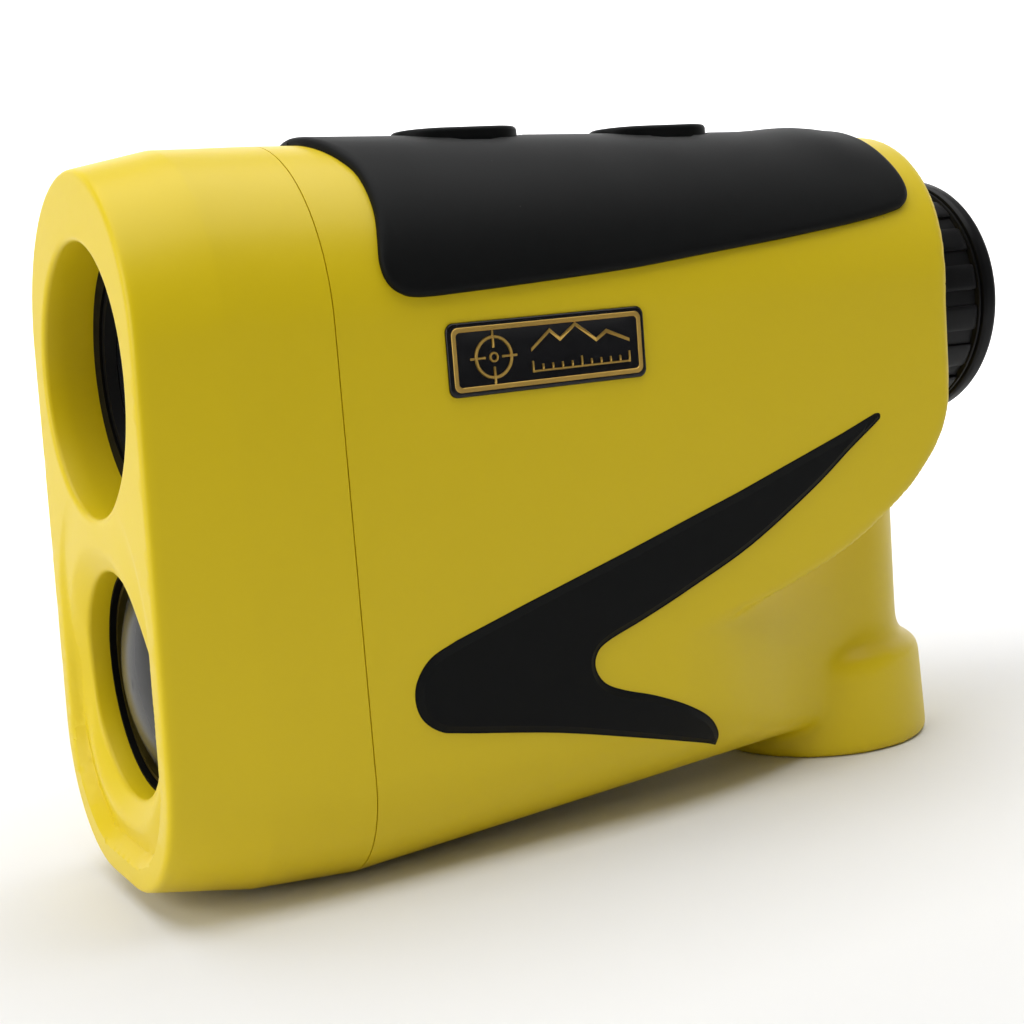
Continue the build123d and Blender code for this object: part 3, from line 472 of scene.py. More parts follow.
def relief(tree, core, layers):
    """Bump layers of (height socket, strength, depth in millimetres), finest last."""
    normal = None
    for height, strength, depth in layers:
        node = tree.nodes.new("ShaderNodeBump")
        node.inputs["Strength"].default_value = strength
        node.inputs["Distance"].default_value = depth * MM
        tree.links.new(height, node.inputs["Height"])
        if normal is not None:
            tree.links.new(normal, node.inputs["Normal"])
        normal = node.outputs["Normal"]
    tree.links.new(normal, core.inputs["Normal"])
    return normal


def specks(tree, place, scale, size, share, offset=0.0):
    """Mask of sparse round dots: size is a share of a cell, share the part of the cells that have one."""
    if offset:
        mapping = tree.nodes.new("ShaderNodeMapping")
        mapping.inputs["Location"].default_value = (offset, offset, offset)
        tree.links.new(place, mapping.inputs["Vector"])
        place = mapping.outputs["Vector"]
    cells = tree.nodes.new("ShaderNodeTexVoronoi")
    cells.inputs["Scale"].default_value = scale
    tree.links.new(place, cells.inputs["Vector"])
    dot = tree.nodes.new("ShaderNodeMapRange")
    dot.inputs["From Min"].default_value = size
    dot.inputs["From Max"].default_value = size * 0.5
    tree.links.new(cells.outputs["Distance"], dot.inputs["Value"])
    red = tree.nodes.new("ShaderNodeSeparateColor")
    tree.links.new(cells.outputs["Color"], red.inputs["Color"])
    chosen = tree.nodes.new("ShaderNodeMath")
    chosen.operation = "LESS_THAN"
    chosen.inputs[1].default_value = share
    tree.links.new(red.outputs["Red"], chosen.inputs[0])
    both = tree.nodes.new("ShaderNodeMath")
    both.operation = "MULTIPLY"
    tree.links.new(dot.outputs["Result"], both.inputs[0])
    tree.links.new(chosen.outputs["Value"], both.inputs[1])
    return both.outputs["Value"]


def tint(colour, factor):
    return tuple(min(1.0, c * factor) for c in colour)


def satin_paint():
    colour = tuple(finishes().paint)
    material, tree, core, place = shader("satin_yellow_paint")
    cloud = noise(tree, place, 45, 2)
    base = mixed(tree, cloud, tint(colour, 0.975), tint(colour, 1.02))
    base = mixed(tree, specks(tree, place, 260, 0.035, 0.02), base, tint(colour, 0.12))
    base = mixed(tree, specks(tree, place, 420, 0.05, 0.02, 3.1), base, tint(colour, 0.6))
    tree.links.new(base, core.inputs["Base Color"])
    rough = finishes().paint_rough
    tree.links.new(span(tree, noise(tree, place, 300, 3), rough - 0.03, rough + 0.04), core.inputs["Roughness"])
    core.inputs["Specular IOR Level"].default_value = 0.3
    core.inputs["Coat Weight"].default_value = 0.05
    core.inputs["Coat Roughness"].default_value = 0.25
    relief(
        tree,
        core,
        [(noise(tree, place, 900, 2, 0.5), 0.30, 0.030), (noise(tree, place, 3200, 2, 0.6), 0.18, 0.008)],
    )
    return material


def soft_rubber(name, colour, rough=0.55, grain=0.25, dust=0.05):
    material, tree, core, place = shader(name)
    cloud = noise(tree, place, 70, 3)
    base = mixed(tree, cloud, tint(colour, 0.85), tint(colour, 1.2))
    base = mixed(tree, specks(tree, place, 330, 0.045, dust), base, (0.10, 0.10, 0.095))
    base = mixed(tree, specks(tree, place, 620, 0.07, dust * 1.4, 5.3), base, (0.035, 0.035, 0.034))
    tree.links.new(base, core.inputs["Base Color"])
    tree.links.new(span(tree, cloud, rough - 0.05, rough + 0.06), core.inputs["Roughness"])
    core.inputs["Specular IOR Level"].default_value = 0.11
    relief(tree, core, [(noise(tree, place, 2600, 3, 0.6), grain, 0.02)])
    return material


def hard_plastic(name, colour, rough=0.35, grain=0.12, shine=0.3):
    material, tree, core, place = shader(name)
    cloud = noise(tree, place, 90, 3)
    tree.links.new(mixed(tree, cloud, tint(colour, 0.85), tint(colour, 1.15)), core.inputs["Base Color"])
    tree.links.new(span(tree, noise(tree, place, 500, 3), rough - 0.05, rough + 0.07), core.inputs["Roughness"])
    core.inputs["Specular IOR Level"].default_value = shine
    relief(tree, core, [(noise(tree, place, 1800, 3, 0.55), grain, 0.015)])
    return material


def worked_metal(name, colour, rough=0.3, stretch=(1, 1, 1), brush=0.1):
    material, tree, core, place = shader(name)
    lines = noise(tree, place, 900, 3, 0.6, stretch)
    cloud = noise(tree, place, 80, 3)
    tree.links.new(mixed(tree, cloud, tint(colour, 0.8), tint(colour, 1.1)), core.inputs["Base Color"])
    core.inputs["Metallic"].default_value = 1.0
    tree.links.new(span(tree, lines, rough - 0.08, rough + 0.12), core.inputs["Roughness"])
    relief(tree, core, [(lines, brush, 0.01)])
    return material


def smoked_glass(name, colour, rough=0.06, coat=1.0, shine=0.5):
    """Dark coated glass that hides what is behind it."""
    material, tree, core, place = shader(name)
    # Painted sheen: the base colour is darker seen head-on and lighter towards grazing angles, so the rim of the
    # glass looks lit.
    facing = tree.nodes.new("ShaderNodeLayerWeight")
    facing.inputs["Blend"].default_value = 0.45
    cloud = noise(tree, place, 55, 2)
    haze = mixed(tree, cloud, tint(colour, 0.7), tint(colour, 1.3))
    tree.links.new(mixed(tree, facing.outputs["Facing"], tint(colour, 0.35), haze), core.inputs["Base Color"])
    core.inputs["Roughness"].default_value = rough
    core.inputs["Specular IOR Level"].default_value = shine
    core.inputs["Coat Weight"].default_value = coat
    core.inputs["Coat Roughness"].default_value = 0.03
    core.inputs["Coat IOR"].default_value = 1.7
    relief(tree, core, [(noise(tree, place, 120, 2), 0.04, 0.02)])
    return material


def clear_glass(name, colour, density=1.0):
    material, tree, core, place = shader(name)
    cloud = noise(tree, place, 60, 2)
    tree.links.new(mixed(tree, cloud, tint(colour, 0.95), colour), core.inputs["Base Color"])
    core.inputs["Transmission Weight"].default_value = density
    core.inputs["IOR"].default_value = 1.52
    core.inputs["Roughness"].default_value = 0.02
    relief(tree, core, [(noise(tree, place, 200, 2), 0.01, 0.01)])
    return material


def circuit_board(name):
    material, tree, core, place = shader(name)
    cells = tree.nodes.new("ShaderNodeTexBrick")
    cells.inputs["Scale"].default_value = 400
    cells.inputs["Mortar Size"].default_value = 0.03
    cells.inputs["Color1"].default_value = (0.006, 0.06, 0.02, 1)
    cells.inputs["Color2"].default_value = (0.008, 0.075, 0.03, 1)
    cells.inputs["Mortar"].default_value = (0.03, 0.16, 0.06, 1)
    tree.links.new(place, cells.inputs["Vector"])
    tree.links.new(cells.outputs["Color"], core.inputs["Base Color"])
    tree.links.new(span(tree, noise(tree, place, 400), 0.3, 0.45), core.inputs["Roughness"])
    relief(tree, core, [(cells.outputs["Fac"], 0.2, 0.03)])
    return material


MATERIALS = {}


def material(name):
    """A finish by name, made once."""
    if not MATERIALS:
        f = finishes()
        plastic = tuple(f.plastic)
        MATERIALS.update(
            paint=satin_paint(),
            rubber=soft_rubber("soft_black_rubber", tuple(f.rubber)),
            button=soft_rubber("button_rubber", tint(f.rubber, 1.25), 0.5, 0.2, 0.03),
            plastic=hard_plastic("moulded_black_plastic", plastic, 0.36, 0.10, 0.14),
            cap=hard_plastic("cap_black_plastic", tint(plastic, 1.4), 0.45, 0.3),
            anodised=hard_plastic("black_anodised_metal", tint(plastic, 0.5), 0.6, 0.15, 0.1),
            enamel=hard_plastic("black_enamel", (0.004, 0.004, 0.005), 0.16, 0.05),
            brass=worked_metal("brushed_brass", tuple(f.brass), 0.38, (1, 0.12, 1), 0.25),
            ring=worked_metal("olive_gold_ring", tuple(f.ring), 0.42, (1, 1, 1), 0.2),
            steel=worked_metal("screw_steel", (0.42, 0.42, 0.43), 0.3, (1, 1, 1), 0.2),
            aluminium=worked_metal("bare_aluminium", (0.62, 0.63, 0.65), 0.35, (1, 0.2, 1), 0.2),
            contact=worked_metal("contact_brass", (0.70, 0.50, 0.18), 0.25),
            dome=smoked_glass("smoked_dome_glass", tuple(f.glass), 0.25, 0.0, 0.14),
            coated=smoked_glass("coated_sighting_glass", (0.008, 0.010, 0.016), 0.04),
            glass=clear_glass("clear_optical_glass", (0.95, 0.97, 0.96)),
            filter=smoked_glass("red_filter_glass", (0.10, 0.004, 0.004), 0.05),
            board=circuit_board("green_circuit_board"),
            white=hard_plastic("white_switch_plastic", (0.75, 0.74, 0.70), 0.45),
            sleeve=hard_plastic("can_sleeve_plastic", (0.02, 0.04, 0.16), 0.35),
            wrap=hard_plastic("cell_wrap_plastic", (0.10, 0.10, 0.11), 0.28),
            seal=soft_rubber("seal_rubber", (0.02, 0.02, 0.02), 0.6),
            washer=hard_plastic("washer_plastic", (0.012, 0.012, 0.012), 0.55),
        )
    return MATERIALS[name]


CAD_FINISHES = {
    "paint": ("left_shell", "right_shell", "front_bezel"),
    "rubber": ("top_pad", "left_trim", "right_trim", "eyecup"),
    "button": ("power_button", "mode_button"),
    "brass": ("nameplate",),
    "steel": ("shell_screws", "chassis_screws"),
    "anodised": ("objective_barrel", "objective_ring", "receiver_barrel", "ocular_tube", "ocular_cell",
                 "ocular_spacer", "ocular_retainer", "display_frame"),
    "plastic": ("diopter_ring", "prism_housing", "battery_liner", "power_plunger", "mode_plunger"),
    "coated": ("objective_lens",),
    "glass": ("objective_flint", "half_prism", "roof_prism", "display_cell", "field_lens"),
    "dome": ("receiver_lens",),
    "filter": ("bandpass_filter",),
    "ring": ("receiver_ring",),
    "aluminium": ("chassis", "prism_cover", "laser_mount"),
    "contact": ("top_contact", "cap_contact", "laser_diode", "detector"),
    "board": ("main_board", "button_board", "detector_board"),
    "cap": ("battery_cap",),
    "seal": ("cap_seal",),
    "washer": ("ring_washer",),
    "white": ("key_switches",),
    "enamel": ("board_chips",),
    "sleeve": ("pulse_capacitor",),
    "wrap": ("battery",),
}


# ------------------------------------------------------------------------------ front bezel
def face_station(z):
    """Station of the front face, which leans back a little."""
    return 1.0 + FACE_LEAN * (z - 38.2)


def bezel_ring(stations, face, crease, seam):
    """One point of each lengthwise line of the bezel's skin, at its own station."""
    near = (stations - FACE_STATION) / (CREASE_STATION - FACE_STATION)
    far = (stations - CREASE_STATION) / (SEAM - CREASE_STATION)
    front = face + (crease - face) * near[:, None]
    back = crease + (seam - crease) * far[:, None]
    return np.where((stations <= CREASE_STATION)[:, None], front, back)


def panel_outline(grow):
    """Outline of the shallow panel round the receiver."""
    return section((15.2 + grow, 44.5, 4.6 - grow, 12.0 + grow))


def face_depth(points, rounding, bore_rounding, panel_depth, outer):
    """How far each point of the front face lies behind its plane."""
    x, z = points[:, 0], points[:, 1]
    depth = rounding - rounded_step(edge_distance(points, [outer]), rounding, rounding)
    sight = np.hypot(x, z - SIGHT_HEIGHT) - OBJECTIVE_RADIUS
    depth += np.where(sight < bore_rounding, bore_rounding - rounded_step(sight, bore_rounding, bore_rounding), 0)
    outline = panel_outline(0)
    within = inside(points, [outline])
    gap = edge_distance(points, [outline])
    slope = panel_depth * ease((44.0 - z) / 44.0) ** 0.8
    wall = ease(gap / 1.3)
    rise = 1 - 0.42 * ease((gap - 1.3) / 3.2)
    depth += np.where(within, slope * wall * rise, 0)
    away = np.hypot(x, z - RECEIVER_HEIGHT)
    t = np.clip((DISH_RADIUS - away) / (DISH_RADIUS - RECEIVER_RADIUS), 0, 1)
    depth += 1.25 * t**1.35
    mouth = away - RECEIVER_RADIUS
    depth += np.where(mouth < 0.35, 0.35 - rounded_step(mouth, 0.35, 0.35), 0)
    return depth


def build_bezel():
    s = sizes()
    rounding, bore_rounding = s.face_rounding / MM, s.bore_rounding / MM
    groove, depth = s.seam_groove / MM, s.panel_depth / MM
    face, crease, seam = section(FACE_FORM), section(CREASE_FORM), section(body_form(SEAM))
    stations = np.full(len(face), 1.0)
    for _ in range(4):
        outline = bezel_ring(stations, face, crease, seam)
        stations = face_station(outline[:, 1]) + rounding
    sketch = Sketch()

    def row(where, ring):
        return np.c_[ring[:, 0], y_at(0) + where, ring[:, 1]]

    loops = [outline, circle(OBJECTIVE_RADIUS, SIGHT_HEIGHT), circle(RECEIVER_RADIUS, RECEIVER_HEIGHT)]
    panel = [panel_outline(g) for g in (0, -0.35, -0.75, -1.2, -1.7, -2.4)]
    dish = [circle(r, RECEIVER_HEIGHT) for r in (12.4, 12.9, 13.5, 14.1, 14.7, 15.3)]
    points, faces, _, spots = sheet(loops, (0.08, 0.2, 0.38, 0.6, 0.9), 1.6, np.vstack(panel + dish))
    sunk = face_depth(points, rounding, bore_rounding, depth, outline)
    where = face_station(points[:, 1]) + sunk
    sketch.add(np.c_[points[:, 0], y_at(0) + where, points[:, 1]], faces)

    rows = []
    for t in (0, 0.08, 0.25, 0.5, 0.75, 0.93):
        at = stations + (CREASE_STATION - stations) * t
        rows.append(row(at, bezel_ring(at, face, crease, seam)))
    for at in (CREASE_STATION - 0.25, CREASE_STATION, CREASE_STATION + 0.25, 12.5, 15.5, 18.5, SEAM - 0.4, SEAM - groove):
        at = np.full(len(face), at)
        rows.append(row(at, bezel_ring(at, face, crease, seam)))
    seam_in = section(body_form(SEAM, groove))
    wall = section(body_form(SEAM, 1.8))
    rows.append(row(np.full(len(face), SEAM), seam_in))
    rows.append(row(np.full(len(face), SEAM), wall))
    rows.append(row(np.full(len(face), 7.0), wall))
    sketch.rows(rows)

    back = [wall, loops[1], circle(14.2, RECEIVER_HEIGHT)]
    points, faces, _, _ = sheet(back, (), 6.0)
    sketch.add(np.c_[points[:, 0], np.full(len(points), y_at(7.0)), points[:, 1]], faces)

    def bore(loop, stops):
        start = face_station(loop[:, 1]) + face_depth(loop, rounding, bore_rounding, depth, outline)
        rows = [row(start, loop)]
        middle = loop.mean(0)
        for at, radius in stops:
            ring = middle + (loop - middle) / np.linalg.norm(loop - middle, axis=1)[:, None] * radius
            at = start + (at - start) if np.ndim(at) else np.full(len(loop), at)
            rows.append(row(at, ring))
        sketch.rows(rows)

    bore(loops[1], ((4.0, OBJECTIVE_RADIUS), (7.0, OBJECTIVE_RADIUS)))
    bore(loops[2], ((4.6, RECEIVER_RADIUS), (4.6, 14.2), (7.0, 14.2)))
    piece = put("front_bezel_skin", sketch.mesh("front_bezel_skin", 2e-3), material("paint"), 35)
    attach(piece, "housing")
    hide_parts("front_bezel")


# ------------------------------------------------------------------------------ shells
RIDGE = ((60, 20.4), (66, 21.4), (72, 22.8), (77, 24.3), (83.5, 26.7), (88.9, 29.6), (94.1, 33.2),
         (98.1, 37.6), (99.8, 41.8), (100.3, 46.5))
WEB_WIDTH = ((56, 18.5), (60, 18.45), (66, 17.7), (72, 15.9), (77, 13.9), (82, 12.2), (87, 11.0), (92, 10.5))
FOOT = ((13.5, 0.0), (13.85, 0.1), (14.0, 0.4), (13.9, 3.0), (13.75, 6.0), (13.6, 9.0), (13.5, 10.6),
        (13.3, 11.3), (12.6, 11.9), (11.4, 12.6), (10.8, 13.6), (10.55, 15.0), (10.4, 17.0), (10.4, 30.0))


def keel_height(x, station):
    """Height of the rounded underside at a distance from the middle."""
    _, _, bottom, corner = body_form(station)
    past = np.clip(np.abs(x) - (HALF_WIDTH - corner), 0, corner)
    return bottom + corner - np.sqrt(corner**2 - past**2)


def closed_loft(sketch, rows):
    """Skin over the rows with a fan over each end."""
    sketch.rows(rows)
    for row in (rows[0], rows[-1]):
        n = len(row)
        sketch.add(np.vstack([row, row.mean(0)]), [(i, (i + 1) % n, n) for i in range(n)])


def body_lump():
    """Closed outer form of the two shells, before its lobes are blended."""
    upper = Sketch()
    bend = REAR_ROUNDING
    stops = [(SEAM - 4 + i * (REAR_FACE - bend - SEAM + 4) / 16, 0.0) for i in range(17)]
    stops += [
        (REAR_FACE - bend + bend * math.sin(a), bend * (1 - math.cos(a))) for a in np.linspace(0, math.pi / 2, 7)[1:]
    ]
    rows = []
    for at, inset in stops:
        ring = section(body_form(at, inset))
        lean = REAR_LEAN * np.clip((ring[:, 1] - SIGHT_HEIGHT) / 20, 0, 1) ** 1.5 * (at >= REAR_FACE - bend)
        rows.append(np.c_[ring[:, 0], y_at(at) + lean, ring[:, 1]])
    # A flat seat round the eyepiece keeps the leaning rim clear of the focusing ring.
    way = ring - (0, SIGHT_HEIGHT)
    seat = way / np.linalg.norm(way, axis=1)[:, None] * 15.6
    rows.append(np.c_[seat[:, 0], np.full(len(seat), y_at(REAR_FACE)), seat[:, 1] + SIGHT_HEIGHT])
    closed_loft(upper, rows)
    upper = put("upper", upper.mesh("upper"))

    line = smooth_line(RIDGE)
    below = np.vstack([line, [(REAR + 6, 46.5), (REAR + 6, -12), (60, -12)]])
    cutter = Sketch()
    rows = [np.c_[np.full(len(below), x), y_at(0) + below[:, 0], below[:, 1]] for x in (-30, 30)]
    cutter.rows(rows)
    for x in (-30, 30):
        points, faces, _, _ = sheet([below], (), 50)
        cutter.add(np.c_[np.full(len(points), x), y_at(0) + points[:, 0], points[:, 1]], faces)
    cutter = put("cutter", cutter.mesh("cutter"))
    cut(upper, cutter)

    half = smooth_line(WEB_WIDTH)
    end = [(GRIP + 10.5 * math.sin(a), 10.5 * math.cos(a)) for a in np.linspace(0, math.pi / 2, 12)[1:]]
    right = np.vstack([half, end])
    plan = np.vstack([right, right[-2::-1] * (1, -1)])
    web = Sketch()
    points, faces, _, spots = sheet([plan], (0.5, 1.5), 2.0)
    z = keel_height(points[:, 1], points[:, 0])
    web.add(np.c_[points[:, 1], y_at(0) + points[:, 0], z], faces)
    web.add(np.c_[points[:, 1], y_at(0) + points[:, 0], np.full(len(points), 42.0)], faces)
    z = keel_height(plan[:, 1], plan[:, 0])
    rows = [
        np.c_[plan[:, 1], y_at(0) + plan[:, 0], z + (42.0 - z) * t] for t in np.linspace(0, 1, 14)
    ]
    web.rows(rows)
    web = put("web", web.mesh("web"))

    foot = Sketch()
    closed_loft(foot, turned([(z, r) for r, z in FOOT], GRIP - 0.5, "Z", 128, False))
    foot = put("foot", foot.mesh("foot"))
    form = bmesh.new()
    for thing in (upper, web, foot):
        form.from_mesh(thing.data)
        remove(thing)
    data = bpy.data.meshes.new("body")
    form.to_mesh(data)
    form.free()
    return put("body", data)


def cut(thing, cutter, how="DIFFERENCE"):
    """Cuts one solid with another."""
    action = thing.modifiers.new("cut", "BOOLEAN")
    action.operation = how
    action.object = cutter
    action.solver = "MANIFOLD"
    baked(thing)
    remove(cutter)


def positions(data):
    flat = np.empty(len(data.vertices) * 3)
    data.vertices.foreach_get("co", flat)
    return flat.reshape(-1, 3) / MM


def blended_body():
    """The body with soft hollows where the grip flows out of it."""
    body = body_lump()
    action = body.modifiers.new("blend", "REMESH")
    action.mode = "VOXEL"
    action.voxel_size = sizes().voxel
    action.adaptivity = 0
    baked(body)
    p = positions(body.data)
    s, z = station_of(p[:, 1]), p[:, 2]
    away = np.hypot(p[:, 0], s - GRIP)
    ridge = np.interp(s, *smooth_line(RIDGE).T)
    under = ease((ridge + 1.0 - z) / 3.5) * ease((s - 60) / 6)
    low = ease((z - 2.0) / 3.0)
    crisp_foot = ease((GRIP + 3 - s) / 6)
    shoulder = 1 - ease(1 - np.abs(z - 11.5) / 3.5) * (1 - crisp_foot) * (away > 10.8)
    soft = under * low * np.clip(shoulder, 0.12, 1) * (away < 40)
    for name, weight, rounds in (("everywhere", np.ones(len(p)), 4), ("soft", np.clip(soft, 0, 1), 30)):
        group = body.vertex_groups.new(name=name)
        for step in np.linspace(0, 1, 21):
            chosen = np.where(np.abs(weight - step) <= 0.025)[0]
            if len(chosen):
                group.add(chosen.tolist(), float(step), "REPLACE")
        action = body.modifiers.new(name, "SMOOTH")
        action.factor = 0.5
        action.iterations = rounds
        action.vertex_group = name
    baked(body)
    return body


def stadium(length, width, middle, count=24):
    """Outline (x, station) of a slot that runs lengthwise."""
    r, run = width / 2, length / 2 - width / 2
    a = np.linspace(0, math.pi, count)
    near = np.c_[r * np.cos(a), middle + run + r * np.sin(a)]
    return np.vstack([near, near * (-1, -1) + (0, 2 * middle)])


def prism(rows):
    solid = Sketch()
    closed_loft(solid, rows)
    return put("cutter", solid.mesh("cutter"))


def openings():
    """Solids that cut the eyepiece, battery and button openings."""
    made = [
        prism(turned(((94.0, 12.9), (109.0, 12.9)), SIGHT_HEIGHT, "Y", 96, False)),
        prism(turned(((-4.0, 11.8), (3.6, 11.8)), GRIP, "Z", 96, False)),
    ]
    for low, high in BUTTONS:
        middle = station_of((low.y + high.y) / 2)
        slot = stadium(15.3, 9.1, middle)
        made.append(prism([np.c_[slot[:, 0], y_at(0) + slot[:, 1], np.full(len(slot), z)] for z in (68.0, 80.0)]))
    return made


def screw_points():
    """Middle of each screw head of the shells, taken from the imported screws."""
    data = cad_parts["shell_screws"].data
    p = positions(data)
    heads = p[p[:, 0] < -8.0]
    found = []
    for point in heads:
        for group in found:
            if np.hypot(*(group[0][1:] - point[1:])) < 4.2:
                group.append(point)
                break
        else:
            found.append([point])
    made = []
    for group in found:
        g = np.array(group)
        low, high = g.min(0), g.max(0)
        made.append((low[0], (low[1] + high[1]) / 2, (low[2] + high[2]) / 2))
    return made


def build_shells():
    s = sizes()
    body = blended_body()
    skin = s.skin / MM
    made = []
    for side, name in ((1, "left_shell_skin"), (-1, "right_shell_skin")):
        form = bmesh.new()
        form.from_mesh(body.data)
        for point, normal in (((0, 0, 0), (side, 0, 0)), ((0, y_at(SEAM + 0.05) * MM, 0), (0, 1, 0))):
            bmesh.ops.bisect_plane(
                form, geom=form.verts[:] + form.edges[:] + form.faces[:], dist=2e-6,
                plane_co=point, plane_no=normal, clear_inner=True,
            )
        data = bpy.data.meshes.new(name)
        form.to_mesh(data)
        form.free()
        half = put(name, data)
        wall = half.modifiers.new("wall", "SOLIDIFY")
        wall.thickness = skin * MM
        wall.offset = -1
        wall.use_even_offset = False
        baked(half)
        for cutter in openings():
            cut(half, cutter)
        if side < 0:
            for x, y, z in screw_points():
                hole = prism([
                    np.c_[np.full(48, at), y + 2.15 * np.cos(a), z + 2.15 * np.sin(a)]
                    for at in (-30, -12)
                    for a in [np.linspace(0, 2 * math.pi, 48, endpoint=False)]
                ])
                cut(half, hole)
        made.append(half)
    add_inner_walls(*made)
    for half, node in zip(made, ("left_shell", "right_shell")):
        half.data.materials.clear()
        half.data.materials.append(material("paint"))
        half.data.shade_smooth()
        half.data.set_sharp_from_angle(angle=math.radians(50))
        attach(half, "housing")
        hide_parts(node)
    return body


def add_inner_walls(left, right):
    """Battery throat and screw wells, which show through the openings."""
    for half, side in ((left, 1), (right, -1)):
        extra = Sketch()
        profile = ((2.4, 10.0), (8.0, 10.0), (8.0, 12.3), (2.4, 12.3))
        angles = np.linspace(-math.pi / 2, math.pi / 2, 49)
        rows = [
            np.c_[side * r * np.cos(angles), y_at(GRIP) + r * np.sin(angles), np.full(49, z)]
            for z, r in (*profile, profile[0])
        ]
        extra.rows(rows, closed=False)
        for end in (0, -1):
            extra.add([row[end] for row in rows[:4]], [(0, 1, 2, 3)])
        if side < 0:
            a = np.linspace(0, 2 * math.pi, 48, endpoint=False)
            for x, y, z in screw_points():
                reach = 17.2 if z < 40 else 11.0
                ring = [(-reach, 2.15), (x + 1.4, 2.15), (x + 1.4, 2.7), (-reach, 2.7)]
                extra.rows([
                    np.c_[np.full(48, at), y + r * np.cos(a), z + r * np.sin(a)] for at, r in (*ring, ring[0])
                ])
        form = bmesh.new()
        form.from_mesh(half.data)
        form.from_mesh(extra.mesh("inner"))
        form.to_mesh(half.data)
        form.free()


# ------------------------------------------------------------------------------ pad, trims and badge
BODY = {}


def body_tree():
    """Search tree of the blended body, in metres."""
    if "tree" not in BODY:
        data = BODY["object"].data
        BODY["tree"] = BVHTree.FromPolygons(
            [v.co.copy() for v in data.vertices], [tuple(f.vertices) for f in data.polygons]
        )
    return BODY["tree"]


def mirrored(points):
    """Outline continued on the other side of its first column."""
    return np.vstack([points, points[-2:0:-1] * (-1, 1)])


def pad_outline():
    """Pad outline on the unrolled roof: distance round from the top, and station."""
    front = smooth_line([(76.2, 25.9), (76.0, 26.1), (75.1, 26.9), (73.8, 27.7), (72.0, 28.3), (68.5, 28.1), (65.4, 27.4), (63.2, 27.0),
                         (61.4, 27.35), (60.2, 28.5), (59.6, 30.6), (59.7, 36.0), (60.2, 47.0), (60.7, 56.0),
                         (61.6, 66.0), (62.6, 77.0), (63.8, 88.0), (64.75, 94.0), (65.4, 95.9), (66.5, 97.0),
                         (68.2, 97.5), (71.0, 97.5), (73.5, 97.5)], 6)
    out = []
    for z, s in front:
        width, top, _, _ = body_form(s)
        out.append((width * math.acos(np.clip((z - top + width) / width, -1, 1)), s))
    out[0] = (0.0, out[0][1])
    out.append((0.0, 97.5))
    out = np.array(out)
    dense = [out[0]]
    for a, b in zip(out[:-1], out[1:]):
        n = max(1, int(np.ceil(np.linalg.norm(b - a) / 0.9)))
        dense += [a + (b - a) * i / n for i in range(1, n + 1)]
    return mirrored(np.array(dense))


def roof_point(round_place, s, height):
    """Point above the unrolled roof."""
    run = (s - SEAM) / (REAR - SEAM)
    width = HALF_WIDTH
    top = ROOF_AT_SEAM + (ROOF_AT_REAR - ROOF_AT_SEAM) * run
    a = round_place / width
    r = width + height
    past = np.clip(np.abs(a) - math.pi / 2, 0, None) * width
    a = np.clip(a, -math.pi / 2, math.pi / 2)
    return np.c_[r * np.sin(a), y_at(0) + s, top - width + r * np.cos(a) - past]


def with_walls(sketch, points, faces, loops, top, bottom):
    """Adds a sheet's top, its bottom and the walls round its loops."""
    n = len(points)
    sketch.add(top, faces)
    sketch.add(bottom, [tuple(reversed(f)) for f in faces])
    for loop in loops:
        size = len(loop)
        walls = [np.array([top[i] for i in loop]), np.array([bottom[i] for i in loop])]
        sketch.rows(walls)


def build_pad():
    s = sizes()
    proud, bevel = s.pad_proud / MM, s.pad_bevel / MM
    outline = pad_outline()
    slots = []
    for low, high in BUTTONS:
        middle = station_of((low.y + high.y) / 2)
        slots.append(stadium(15.3, 9.1, middle, 28))
    loops = [outline, *slots]
    points, faces, gap, spots = sheet(loops, (0.1, 0.25, 0.45, 0.7, 1.0), (0.9, 2.2))
    outer = edge_distance(points, [outline])
    rim = edge_distance(points, slots)
    height = 0.35 + (proud - 0.35) * np.minimum(
        np.sqrt(np.clip(1 - (1 - np.clip(outer / bevel, 0, 1)) ** 2, 0, 1)),
        0.55 + 0.45 * np.sqrt(np.clip(1 - (1 - np.clip(rim / 0.4, 0, 1)) ** 2, 0, 1)),
    )
    hump = 0.45 * np.exp(-(((points[:, 1] - 90.5) / 4.5) ** 2)) * ease(outer / 4.0) * ease((16 - np.abs(points[:, 0])) / 8)
    height += hump
    top = roof_point(points[:, 0], points[:, 1], height)
    bottom = roof_point(points[:, 0], points[:, 1], np.full(len(points), -0.05))
    sketch = Sketch()
    with_walls(sketch, points, faces, spots, top, bottom)
    piece = put("top_pad_rubber", sketch.mesh("top_pad_rubber"), material("rubber"), 50)
    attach(piece, "housing")
    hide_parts("top_pad")


def trim_outline():
    """Outline of a side trim as (station, height)."""
    upper = [(88.0, 41.85), (83.0, 40.1), (67.9, 35.3), (52.3, 30.75), (40.0, 27.3), (31.6, 24.85)]
    lobe = smooth_line([(31.6, 24.85), (28.6, 23.6), (26.9, 21.7), (26.4, 19.6), (27.0, 17.5), (28.8, 15.9),
                        (31.5, 15.15), (42.8, 12.9), (54.0, 9.9), (62.5, 7.3), (65.0, 6.35)], 6)
    lower = smooth_line([(65.0, 6.35), (64.5, 8.2), (62.6, 10.6), (59.4, 12.7), (55.2, 14.6), (51.4, 15.9),
                         (49.0, 17.1), (47.9, 18.8), (48.1, 20.4), (49.6, 21.6), (54.6, 23.3), (60.5, 25.5),
                         (69.2, 29.1), (78.5, 34.35), (84.0, 38.1), (88.1, 40.75), (88.75, 41.35),
                         (88.6, 41.8), (88.0, 41.85)], 6)
    dense = []
    for a, b in zip(upper[:-1], upper[1:]):
        n = int(np.ceil(np.hypot(b[0] - a[0], b[1] - a[1]) / 0.9))
        dense += [np.array(a) + (np.array(b) - a) * i / n for i in range(n)]
    return np.vstack([dense, lobe[:-1], lower[:-1]])


